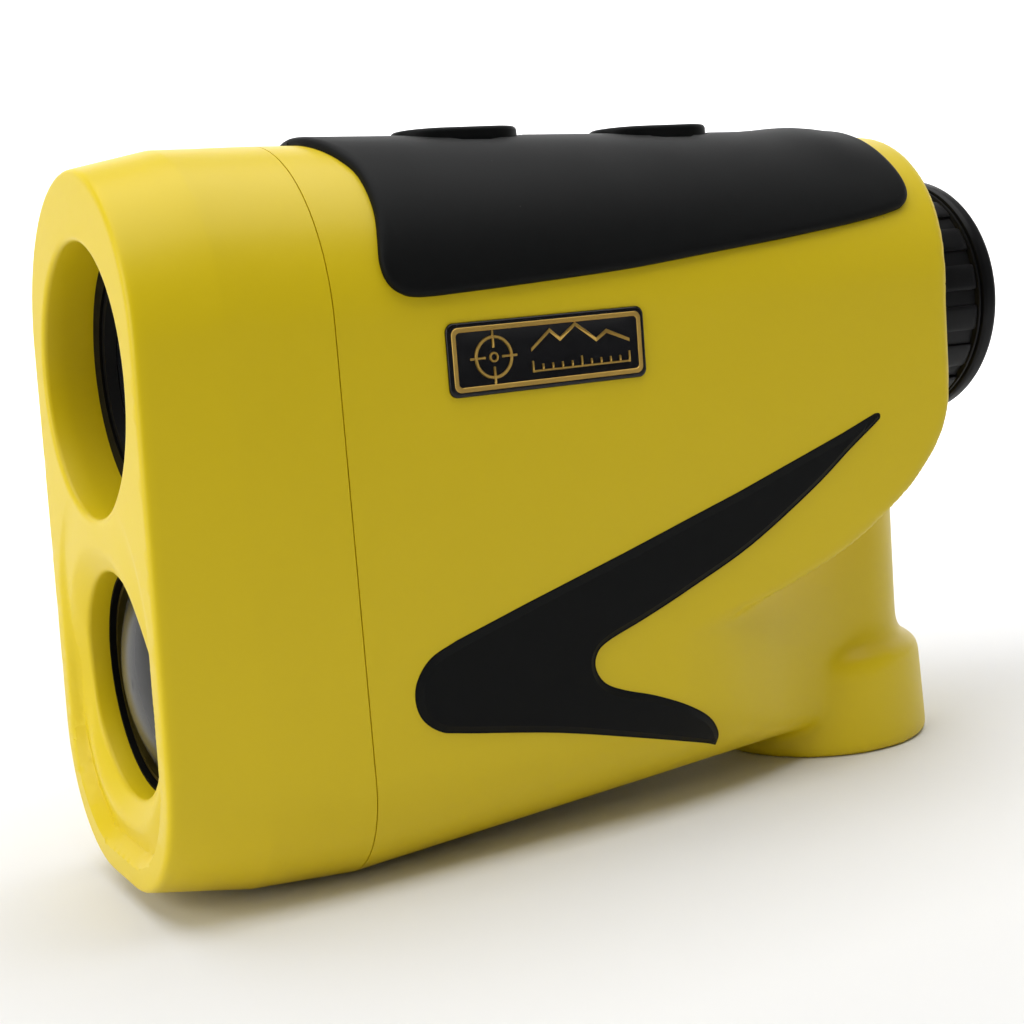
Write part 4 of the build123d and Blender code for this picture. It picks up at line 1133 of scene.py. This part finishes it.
def drape(points, height, side):
    """Points on the body's flank seen from one side, raised along a calm normal."""
    tree = body_tree()

    def hit(s, z):
        start = Vector((side * 0.05, y_at(s) * MM, z * MM))
        place, normal, _, _ = tree.ray_cast(start, Vector((-side, 0, 0)))
        if place is None:
            raise RuntimeError(f"the trim leaves the body at station {s:.1f}, height {z:.1f}")
        return np.array(place) / MM, np.array(normal)

    out = []
    for (s, z), h in zip(points, height):
        place, normal = hit(s, z)
        for ds, dz in ((1.2, 0), (-1.2, 0), (0, 1.0)):
            normal = normal + hit(s + ds, z + dz)[1]
        normal /= np.linalg.norm(normal)
        out.append(place + normal * h)
    return np.array(out)


def build_trims():
    s = sizes()
    proud, bevel = s.trim_proud / MM, s.trim_bevel / MM
    outline = trim_outline()
    # Painted shadow: the flat skirt, 0.18 mm wide and only 0.04 mm proud, is black rubber laid round the trim to
    # stand for the shadow line along its edge.
    skirt = 0.18
    points, faces, gap, spots = sheet([outline], (skirt, skirt + bevel / 2, skirt + bevel, skirt + bevel + 0.25), 1.5)
    slope = np.clip((gap - skirt) / bevel, 0, 1)
    height = 0.04 + (proud - 0.04) * slope
    for side, name, node in ((1, "left_trim_rubber", "left_trim"), (-1, "right_trim_rubber", "right_trim")):
        sketch = Sketch()
        top = drape(points, height, side)
        bottom = drape(points, np.full(len(points), -0.25), side)
        with_walls(sketch, points, faces, spots, top, bottom)
        piece = put(name, sketch.mesh(name), material("rubber"), 22)
        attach(piece, "housing")
        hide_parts(node)


def rounded_box(low, high, radius, count=8):
    """Outline of a rectangle with round corners."""
    (x0, z0), (x1, z1) = low, high
    out = []
    for cx, cz, start in ((x1 - radius, z0 + radius, -90), (x1 - radius, z1 - radius, 0),
                          (x0 + radius, z1 - radius, 90), (x0 + radius, z0 + radius, 180)):
        for i in range(count + 1):
            a = math.radians(start + 90 * i / count)
            out.append((cx + radius * math.cos(a), cz + radius * math.sin(a)))
    out = np.array(out)
    dense = []
    for a, b in zip(out, np.roll(out, -1, 0)):
        n = max(1, int(np.ceil(np.linalg.norm(b - a) / 0.5)))
        dense += [a + (b - a) * i / n for i in range(n)]
    return np.array(dense)


def raised(sketch, loops, base, top, bevel=0.06):
    """A raised figure on the badge, from loops of (station, height)."""
    points, faces, gap, spots = sheet(loops, (bevel,), 1.2)
    h = top - (top - base) * 0.45 * (1 - np.clip(gap / bevel, 0, 1))
    upper = np.c_[h, y_at(0) + points[:, 0], points[:, 1]]
    lower = np.c_[np.full(len(points), base), y_at(0) + points[:, 0], points[:, 1]]
    with_walls(sketch, points, faces, spots, upper, lower)


def ring_loops(radius, width, middle, count=56):
    a = np.linspace(0, 2 * math.pi, count, endpoint=False)
    unit = np.c_[np.cos(a), np.sin(a)]
    return [np.array(middle) + unit * (radius + width / 2), np.array(middle) + unit * (radius - width / 2)]


def bar(low, high):
    (x0, z0), (x1, z1) = low, high
    return [rounded_box(low, high, min(x1 - x0, z1 - z0) * 0.3, 3)]


def build_badge():
    """Enamelled plate with a brass border, a reticle and a distance scale."""
    x = PLATE_LOW.x
    s0, s1 = station_of(PLATE_LOW.y), station_of(PLATE_HIGH.y)
    z0, z1 = PLATE_LOW.z, PLATE_HIGH.z
    plate = Sketch()
    loops = [rounded_box((s0, z0), (s1, z1), 0.9)]
    points, faces, gap, spots = sheet(loops, (0.1, 0.2, 0.32, 0.45), 1.4)
    h = x + 0.14 + 0.22 * np.sqrt(np.clip(1 - (1 - np.clip(gap / 0.32, 0, 1)) ** 2, 0, 1))
    within = edge_distance(points, [rounded_box((s0 + 1.05, z0 + 1.05), (s1 - 1.05, z1 - 1.05), 0.5)])
    h -= 0.1 * ease(np.where(inside(points, [rounded_box((s0 + 1, z0 + 1), (s1 - 1, z1 - 1), 0.5)]), within / 0.2, 0))
    with_walls(
        plate, points, faces, spots,
        np.c_[h, y_at(0) + points[:, 0], points[:, 1]],
        np.c_[np.full(len(points), x - 0.05), y_at(0) + points[:, 0], points[:, 1]],
    )
    base = put("badge_enamel", plate.mesh("badge_enamel"), material("enamel"), 40)
    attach(base, "housing")
    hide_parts("nameplate")

    low, high = x + 0.2, x + 0.46
    brass = Sketch()
    raised(brass, [rounded_box((s0 + 0.5, z0 + 0.5), (s1 - 0.5, z1 - 0.5), 0.75),
                   rounded_box((s0 + 1.0, z0 + 1.0), (s1 - 1.0, z1 - 1.0), 0.45)], x + 0.3, high - 0.02)
    middle = (s0 + 5.2, (z0 + z1) / 2)
    raised(brass, ring_loops(2.05, 0.34, middle), low, high)
    raised(brass, ring_loops(0.42, 0.26, middle, 28), low, high)
    for ds, dz in ((1, 0), (-1, 0), (0, 1), (0, -1)):
        a = np.array(middle) + np.array((ds, dz)) * 0.95
        b = np.array(middle) + np.array((ds, dz)) * 2.72
        side = 0.13
        lo = np.minimum(a, b) - (side * abs(dz), side * abs(ds))
        hi = np.maximum(a, b) + (side * abs(dz), side * abs(ds))
        raised(brass, bar(lo, hi), low, high)
    start, end = s0 + 9.6, s1 - 2.0
    foot = z0 + 1.75
    raised(brass, bar((start, foot), (end, foot + 0.24)), low, high)
    peaks = [(start, foot + 2.5), (start + 2.3, foot + 4.35), (start + 3.5, foot + 3.35), (start + 5.4, foot + 4.75),
             (start + 7.9, foot + 2.9), (start + 9.2, foot + 3.7), (end, foot + 2.5)]
    ridge = np.array(peaks + [(p[0], p[1] - 0.42) for p in reversed(peaks)])
    ridge[len(peaks)] = (end, foot + 2.15)
    ridge[-1] = (start, foot + 2.15)
    raised(brass, [ridge], low, high)
    border = put("badge_brass", brass.mesh("badge_brass"), material("brass"), 40)
    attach(border, "housing")

    tall = Sketch()
    raised(tall, bar((-0.11, 0.0), (0.11, 1.0)), 0.0, high - low)
    master = tall.mesh("tick")
    form = bmesh.new()
    form.from_mesh(master)
    for vertex in form.verts:
        vertex.co.y -= y_at(0) * MM
    form.to_mesh(master)
    form.free()
    tick = put("tick", master, material("brass"), 40)
    count = 11
    carrier = put("badge_scale", bpy.data.meshes.new("badge_scale"))
    run_tree(carrier, row_tree(), Piece=tick, Count=count, Material=material("brass"),
             Start=(low * MM, (y_at(start) + 0.11) * MM, (foot + 0.2) * MM),
             Step=(0.0, (end - start - 0.22) / (count - 1) * MM, 0.0), Every=5, Short=0.62)
    remove(tick)
    carrier.data.shade_smooth()
    carrier.data.set_sharp_from_angle(angle=math.radians(40))
    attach(carrier, "housing")


# ------------------------------------------------------------------------------ repeated pieces
class Graph:
    """A Geometry Nodes tree with named inputs."""

    KINDS = {
        "geometry": "NodeSocketGeometry", "object": "NodeSocketObject", "int": "NodeSocketInt",
        "float": "NodeSocketFloat", "vector": "NodeSocketVector", "material": "NodeSocketMaterial",
    }

    def __init__(self, name, inputs):
        self.tree = bpy.data.node_groups.new(name, "GeometryNodeTree")
        face = self.tree.interface
        face.new_socket("Geometry", in_out="INPUT", socket_type="NodeSocketGeometry")
        for label, kind in inputs:
            face.new_socket(label, in_out="INPUT", socket_type=self.KINDS[kind])
        face.new_socket("Geometry", in_out="OUTPUT", socket_type="NodeSocketGeometry")
        self.source = self.tree.nodes.new("NodeGroupInput")

    def get(self, label):
        return self.source.outputs[label]

    def node(self, kind, links=None, **settings):
        made = self.tree.nodes.new(kind)
        for key, value in settings.items():
            setattr(made, key, value)
        for key, value in (links or {}).items():
            if isinstance(value, bpy.types.NodeSocket):
                self.tree.links.new(value, made.inputs[key])
            else:
                made.inputs[key].default_value = value
        return made

    def math(self, operation, first, second=None):
        links = {0: first}
        if second is not None:
            links[1] = second
        return self.node("ShaderNodeMath", links, operation=operation).outputs[0]

    def finish(self, points, rotation=None, scale=None):
        """Puts the piece on the points, realises it and sets its material."""
        piece = self.node("GeometryNodeObjectInfo", {"Object": self.get("Piece")})
        links = {"Points": points, "Instance": piece.outputs["Geometry"]}
        if rotation is not None:
            links["Rotation"] = rotation
        if scale is not None:
            links["Scale"] = scale
        placed = self.node("GeometryNodeInstanceOnPoints", links)
        real = self.node("GeometryNodeRealizeInstances", {"Geometry": placed.outputs["Instances"]})
        painted = self.node(
            "GeometryNodeSetMaterial", {"Geometry": real.outputs["Geometry"], "Material": self.get("Material")}
        )
        out = self.tree.nodes.new("NodeGroupOutput")
        self.tree.links.new(painted.outputs["Geometry"], out.inputs["Geometry"])
        return self.tree


def run_tree(thing, tree, **values):
    """Runs a tree on an object and keeps the result as its plain mesh."""
    action = thing.modifiers.new("pattern", "NODES")
    action.node_group = tree
    for item in tree.interface.items_tree:
        if item.item_type == "SOCKET" and item.in_out == "INPUT" and item.name in values:
            action[item.identifier] = values[item.name]
    return baked(thing)


def ring_tree():
    """Pieces spaced evenly round a lengthwise axis, each turned to face outward."""
    g = Graph("Pieces Round A Ring", (("Piece", "object"), ("Count", "int"), ("Radius", "float"),
                                      ("Along", "float"), ("Height", "float"), ("Material", "material")))
    line = g.node("GeometryNodeMeshLine", {"Count": g.get("Count")})
    index = g.node("GeometryNodeInputIndex").outputs["Index"]
    angle = g.math("MULTIPLY", g.math("DIVIDE", index, g.get("Count")), 2 * math.pi)
    x = g.math("MULTIPLY", g.math("SINE", angle), g.get("Radius"))
    z = g.math("ADD", g.math("MULTIPLY", g.math("COSINE", angle), g.get("Radius")), g.get("Height"))
    place = g.node("ShaderNodeCombineXYZ", {"X": x, "Y": g.get("Along"), "Z": z})
    turn = g.node("ShaderNodeCombineXYZ", {"Y": angle})
    points = g.node("GeometryNodeSetPosition", {"Geometry": line.outputs["Mesh"], "Position": place.outputs[0]})
    return g.finish(points.outputs["Geometry"], turn.outputs[0])


def row_tree():
    """Pieces in a straight row, with every so many of them at full height and the rest short."""
    g = Graph("Pieces In A Row", (("Piece", "object"), ("Count", "int"), ("Start", "vector"), ("Step", "vector"),
                                  ("Every", "int"), ("Short", "float"), ("Material", "material")))
    line = g.node("GeometryNodeMeshLine", {
        "Count": g.get("Count"), "Start Location": g.get("Start"), "Offset": g.get("Step")})
    index = g.node("GeometryNodeInputIndex").outputs["Index"]
    rest = g.math("MODULO", index, g.get("Every"))
    low = g.math("GREATER_THAN", rest, 0.5)
    drop = g.math("SUBTRACT", 1.0, g.get("Short"))
    scale = g.node("ShaderNodeCombineXYZ", {"X": 1.0, "Y": 1.0, "Z": g.math("SUBTRACT", 1.0, g.math("MULTIPLY", low, drop))})
    return g.finish(line.outputs["Mesh"], None, scale.outputs[0])


def spot_tree():
    """A piece on each point of the carrier."""
    g = Graph("Pieces On Spots", (("Piece", "object"), ("Material", "material")))
    return g.finish(g.get("Geometry"))


# ------------------------------------------------------------------------------ eyepiece and screws
def rib_master(width, length, height, top_radius):
    """One rounded rib that points up, with its crest on the origin's level."""
    sketch = Sketch()
    across = np.array([-0.5, -0.5, -0.44, -0.34, -0.17, 0, 0.17, 0.34, 0.44, 0.5, 0.5]) * width
    lift = np.array([-1.25, -0.28, -0.10, -0.02, 0, 0, 0, -0.02, -0.10, -0.28, -1.25]) * height
    rows = []
    for along, low, keep in ((-0.5, -0.5, 0.96), (-0.47, -0.12, 0.98), (-0.42, 0, 1), (0, 0, 1), (0.42, 0, 1),
                             (0.47, -0.12, 0.98), (0.5, -0.5, 0.96)):
        x = across * keep
        z = lift + low * height * 0.5 - (top_radius - np.sqrt(top_radius**2 - x**2))
        rows.append(np.c_[x, np.full(len(x), along * length), z])
    sketch.rows(rows)
    for row in (rows[0], rows[-1]):
        sketch.add(row, [tuple(range(len(row)))])
    return put("rib", sketch.mesh("rib"), None, 40)


def build_eyepiece():
    s = sizes()
    start, end = REAR_FACE + 0.35, station_of(RING_HIGH.y) + 0.7
    radius = (RING_HIGH.x - RING_LOW.x) / 2
    height = s.rib_height / MM
    core = radius - height
    inner, skirt, step = 12.3, core - 0.12, REAR + 0.6
    profile = [(step, inner), (step, skirt), (start, skirt), (start, radius - 0.35), (start + 0.25, radius - 0.05), (start + 0.55, radius - 0.05),
               (start + 0.75, radius - 0.3), (start + 0.85, core), (end - 0.7, core), (end - 0.6, radius - 0.3),
               (end - 0.45, radius - 0.02), (end - 0.15, radius - 0.02), (end, radius - 0.2), (end, inner), (step, inner)][:-1]
    ring = Sketch()
    ring.rows(turned(profile, SIGHT_HEIGHT, "Y", 144))
    width = 2 * math.pi * radius / s.rib_count - s.rib_gap / MM
    length = end - start - 1.3
    rib = rib_master(width, length, height, radius)
    carrier = put("ribs", bpy.data.meshes.new("ribs"))
    run_tree(carrier, ring_tree(), Piece=rib, Count=s.rib_count, Radius=(radius - 0.03) * MM,
             Along=y_at((start + end) / 2) * MM, Height=SIGHT_HEIGHT * MM, Material=material("plastic"))
    form = bmesh.new()
    form.from_mesh(ring.mesh("focus_ring"))
    form.from_mesh(carrier.data)
    data = bpy.data.meshes.new("focus_ring")
    form.to_mesh(data)
    form.free()
    remove(rib)
    remove(carrier)
    piece = put("focus_ring", data, material("plastic"), 35)
    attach(piece, "diopter_ring")
    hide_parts("diopter_ring")

    start, end = station_of(CUP_LOW.y) + 0.7, station_of(CUP_HIGH.y)
    radius = (CUP_HIGH.x - CUP_LOW.x) / 2
    profile = [(start, 9.9), (start, radius - 0.5), (start + 0.12, radius - 0.2), (start + 0.35, radius - 0.05),
               (start + 0.7, radius)]
    profile += [(end - 0.9 + 0.9 * math.sin(a), radius - 0.9 + 0.9 * math.cos(a)) for a in np.linspace(0, 1.5708, 8)]
    profile += [(end, 13.4), (end - 0.05, 13.0), (end - 0.35, 12.4), (end - 1.0, 11.2), (end - 1.5, 10.3),
                (end - 1.7, 10.0), (end - 1.9, 9.9)]
    cup = Sketch()
    cup.rows(turned(profile, SIGHT_HEIGHT, "Y", 144))
    piece = put("eyecup_rim", cup.mesh("eyecup_rim"), material("plastic"), 35)
    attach(piece, "diopter_ring")
    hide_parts("eyecup")


def screw_master():
    """Screw head with a cross recess, facing -X with the middle of its top at the origin."""
    a = np.linspace(0, 2 * math.pi, 48, endpoint=False)
    sketch = Sketch()
    profile = ((0.0, 1.35), (0.10, 1.6), (0.35, 1.82), (0.7, 1.9), (1.4, 1.9), (1.4, 1.0), (4.0, 1.0))
    rows = [np.c_[np.full(48, x), r * np.cos(a), r * np.sin(a)] for x, r in profile]
    arm, half, deep = 1.15, 0.24, 0.6
    corners = [(half, half), (half, arm), (-half, arm), (-half, half), (-arm, half), (-arm, -half),
               (-half, -half), (-half, -arm), (half, -arm), (half, -half), (arm, -half), (arm, half)]
    cross = np.array(corners)
    points, faces, _, spots = sheet([np.c_[1.35 * np.cos(a), 1.35 * np.sin(a)], cross], (), 0.4)
    sketch.add(np.c_[np.zeros(len(points)), points], faces)
    points, faces, _, spots = sheet([cross], (), 0.5)
    sketch.add(np.c_[np.full(len(points), deep), points], faces)
    sketch.rows([np.c_[np.full(12, x), cross] for x in (0.0, deep)])
    sketch.rows(rows)
    sketch.add(np.vstack([rows[-1], rows[-1].mean(0)]), [(i, (i + 1) % 48, 48) for i in range(48)])
    return put("screw", sketch.mesh("screw"), None, 35)


def build_screws():
    master = screw_master()
    spots = bpy.data.meshes.new("housing_screws")
    spots.from_pydata([tuple(np.array(p) * MM) for p in screw_points()], [], [])
    carrier = put("housing_screws", spots)
    run_tree(carrier, spot_tree(), Piece=master, Material=material("steel"))
    remove(master)
    carrier.data.shade_smooth()
    carrier.data.set_sharp_from_angle(angle=math.radians(35))
    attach(carrier, "housing")
    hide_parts("shell_screws")


# ------------------------------------------------------------------------------ finishes and stage
def build_finishes():
    for finish, nodes in CAD_FINISHES.items():
        for name in nodes:
            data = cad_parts[name].data
            data.materials.clear()
            data.materials.append(material(finish))
            data.shade_smooth()
            data.set_sharp_from_angle(angle=math.radians(32))


def area_light(name, place, target, width, depth, power, colour=(1, 1, 1)):
    lamp = bpy.data.lights.new(name, "AREA")
    lamp.shape = "RECTANGLE"
    lamp.size, lamp.size_y = width, depth
    lamp.energy = power
    lamp.color = colour
    thing = bpy.data.objects.new(name, lamp)
    bpy.context.scene.collection.objects.link(thing)
    thing.location = place
    thing.rotation_euler = (Vector(target) - Vector(place)).to_track_quat("-Z", "Y").to_euler()
    return thing


def build_stage():
    scene = bpy.context.scene
    scene.view_settings.view_transform = "Standard"
    profile = [(0.0, 0.0), (0.3, 0.0), (0.9, 0.0)]
    profile += [(0.9 + 0.5 * math.sin(a), 0.5 - 0.5 * math.cos(a)) for a in np.linspace(0, math.pi / 2, 13)[1:]]
    profile += [(1.4, 1.1)]
    angles = np.linspace(0, 2 * math.pi, 96, endpoint=False)
    sketch = Sketch()
    sketch.rows([np.c_[r * np.cos(angles), r * np.sin(angles), np.full(96, z)] * 1000 for r, z in profile[1:]])
    first = np.c_[0.3 * np.cos(angles), 0.3 * np.sin(angles), np.zeros(96)] * 1000
    sketch.add(np.vstack([first, (0, 0, 0)]), [(i, (i + 1) % 96, 96) for i in range(96)])
    floor_material, tree, core, place = shader("pale_floor_with_painted_shade")
    colour = tuple(finishes().floor)
    # Painted shade: from 0.10 m to 0.34 m out towards the camera the floor fades to 45 per cent of its colour and
    # stays that dark beyond, so the paint and rubber facing that way reflect a dark floor.
    toward = tree.nodes.new("ShaderNodeVectorMath")
    toward.operation = "DOT_PRODUCT"
    toward.inputs[1].default_value = (0.87, -0.49, 0.0)
    tree.links.new(place, toward.inputs[0])
    floor_shade_mask = tree.nodes.new("ShaderNodeMapRange")
    floor_shade_mask.interpolation_type = "SMOOTHSTEP"
    floor_shade_mask.inputs["From Min"].default_value = 0.10
    floor_shade_mask.inputs["From Max"].default_value = 0.34
    tree.links.new(toward.outputs["Value"], floor_shade_mask.inputs["Value"])
    pale = mixed(tree, noise(tree, place, 6, 2), tint(colour, 0.99), colour)
    tree.links.new(mixed(tree, floor_shade_mask.outputs["Result"], pale, tint(colour, 0.45)), core.inputs["Base Color"])
    core.inputs["Roughness"].default_value = 0.9
    core.inputs["Specular IOR Level"].default_value = 0.1
    data = sketch.mesh("floor", outward=False)
    floor = put("studio_floor", data, floor_material, 60)

    world = bpy.data.worlds.new("studio")
    scene.world = world
    world.use_nodes = True
    world.node_tree.nodes["Background"].inputs["Color"].default_value = (1, 1, 1, 1)
    world.node_tree.nodes["Background"].inputs["Strength"].default_value = 0.10
    area_light("front_key", (0.06, -0.75, 0.28), (0, -0.02, 0.04), 0.5, 0.6, 3.4)
    area_light("top_soft", (0.0, 0.0, 0.62), (0, 0, 0.04), 0.68, 0.85, 4.8)
    area_light("backdrop_wash", (-0.35, 0.20, 0.75), (-1.25, 0.72, 0.25), 0.5, 0.5, 22.0)

    camera_data = bpy.data.cameras.new("camera")
    camera_data.sensor_width = 36
    camera_data.lens = 61.36
    camera_data.clip_start, camera_data.clip_end = 0.01, 20
    camera = bpy.data.objects.new("camera", camera_data)
    scene.collection.objects.link(camera)
    turn = Matrix((
        (0.49352, -0.08583, 0.86549),
        (0.86636, 0.13616, -0.48051),
        (-0.07661, 0.98696, 0.14156),
    ))
    camera.matrix_world = Matrix.Translation((0.17342, -0.10274, 0.06236)) @ turn.to_4x4()
    scene.camera = camera


# ------------------------------------------------------------------------------ operators and panel
class Step(bpy.types.Operator):
    """One step of the build"""

    bl_idname = "rangefinder.step"
    bl_label = "Step"
    bl_options = {"REGISTER", "UNDO"}

    def execute(self, context):
        self.build()
        return {"FINISHED"}


class RANGEFINDER_OT_finishes(Step):
    """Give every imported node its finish"""

    bl_idname = "rangefinder.finishes"
    bl_label = "Node Finishes"

    def build(self):
        build_finishes()


class RANGEFINDER_OT_bezel(Step):
    """Build the front bezel with its bores and panel"""

    bl_idname = "rangefinder.bezel"
    bl_label = "Front Bezel"

    def build(self):
        build_bezel()


class RANGEFINDER_OT_shells(Step):
    """Build the two painted shells"""

    bl_idname = "rangefinder.shells"
    bl_label = "Shells"

    def build(self):
        BODY["object"] = build_shells()


class RANGEFINDER_OT_pad(Step):
    """Build the rubber pad over the roof"""

    bl_idname = "rangefinder.pad"
    bl_label = "Top Pad"

    def build(self):
        build_pad()


class RANGEFINDER_OT_trims(Step):
    """Build the two rubber side trims"""

    bl_idname = "rangefinder.trims"
    bl_label = "Side Trims"

    def build(self):
        build_trims()


class RANGEFINDER_OT_badge(Step):
    """Build the enamelled badge"""

    bl_idname = "rangefinder.badge"
    bl_label = "Badge"

    def build(self):
        build_badge()


class RANGEFINDER_OT_eyepiece(Step):
    """Build the ribbed focusing ring and the eyecup"""

    bl_idname = "rangefinder.eyepiece"
    bl_label = "Eyepiece"

    def build(self):
        build_eyepiece()


class RANGEFINDER_OT_screws(Step):
    """Build the screws of the shells"""

    bl_idname = "rangefinder.screws"
    bl_label = "Housing Screws"

    def build(self):
        build_screws()


class RANGEFINDER_OT_stage(Step):
    """Build the floor, the lights and the camera"""

    bl_idname = "rangefinder.stage"
    bl_label = "Studio"

    def build(self):
        build_stage()


STEPS = (
    RANGEFINDER_OT_finishes,
    RANGEFINDER_OT_bezel,
    RANGEFINDER_OT_shells,
    RANGEFINDER_OT_pad,
    RANGEFINDER_OT_trims,
    RANGEFINDER_OT_badge,
    RANGEFINDER_OT_eyepiece,
    RANGEFINDER_OT_screws,
    RANGEFINDER_OT_stage,
)


class RANGEFINDER_PT_panel(bpy.types.Panel):
    """Steps, sizes and finishes of the rangefinder"""

    bl_idname = "RANGEFINDER_PT_panel"
    bl_label = "Rangefinder"
    bl_space_type = "VIEW_3D"
    bl_region_type = "UI"
    bl_category = "Rangefinder"

    def draw(self, context):
        column = self.layout.column(align=True)
        for step in STEPS:
            column.operator(step.bl_idname)
        for group in (context.scene.rangefinder_sizes, context.scene.rangefinder_finishes):
            box = self.layout.box()
            for name in group.__annotations__:
                box.prop(group, name)


CLASSES = (RangefinderSizes, RangefinderFinishes, *STEPS, RANGEFINDER_PT_panel)


def register():
    for item in CLASSES:
        bpy.utils.register_class(item)
    bpy.types.Scene.rangefinder_sizes = bpy.props.PointerProperty(type=RangefinderSizes)
    bpy.types.Scene.rangefinder_finishes = bpy.props.PointerProperty(type=RangefinderFinishes)


def unregister():
    del bpy.types.Scene.rangefinder_sizes
    del bpy.types.Scene.rangefinder_finishes
    for item in reversed(CLASSES):
        bpy.utils.unregister_class(item)


def main():
    register()
    for step in STEPS:
        group, name = step.bl_idname.split(".")
        getattr(getattr(bpy.ops, group), name)()
    remove(BODY["object"])


if __name__ == "__main__":
    main()
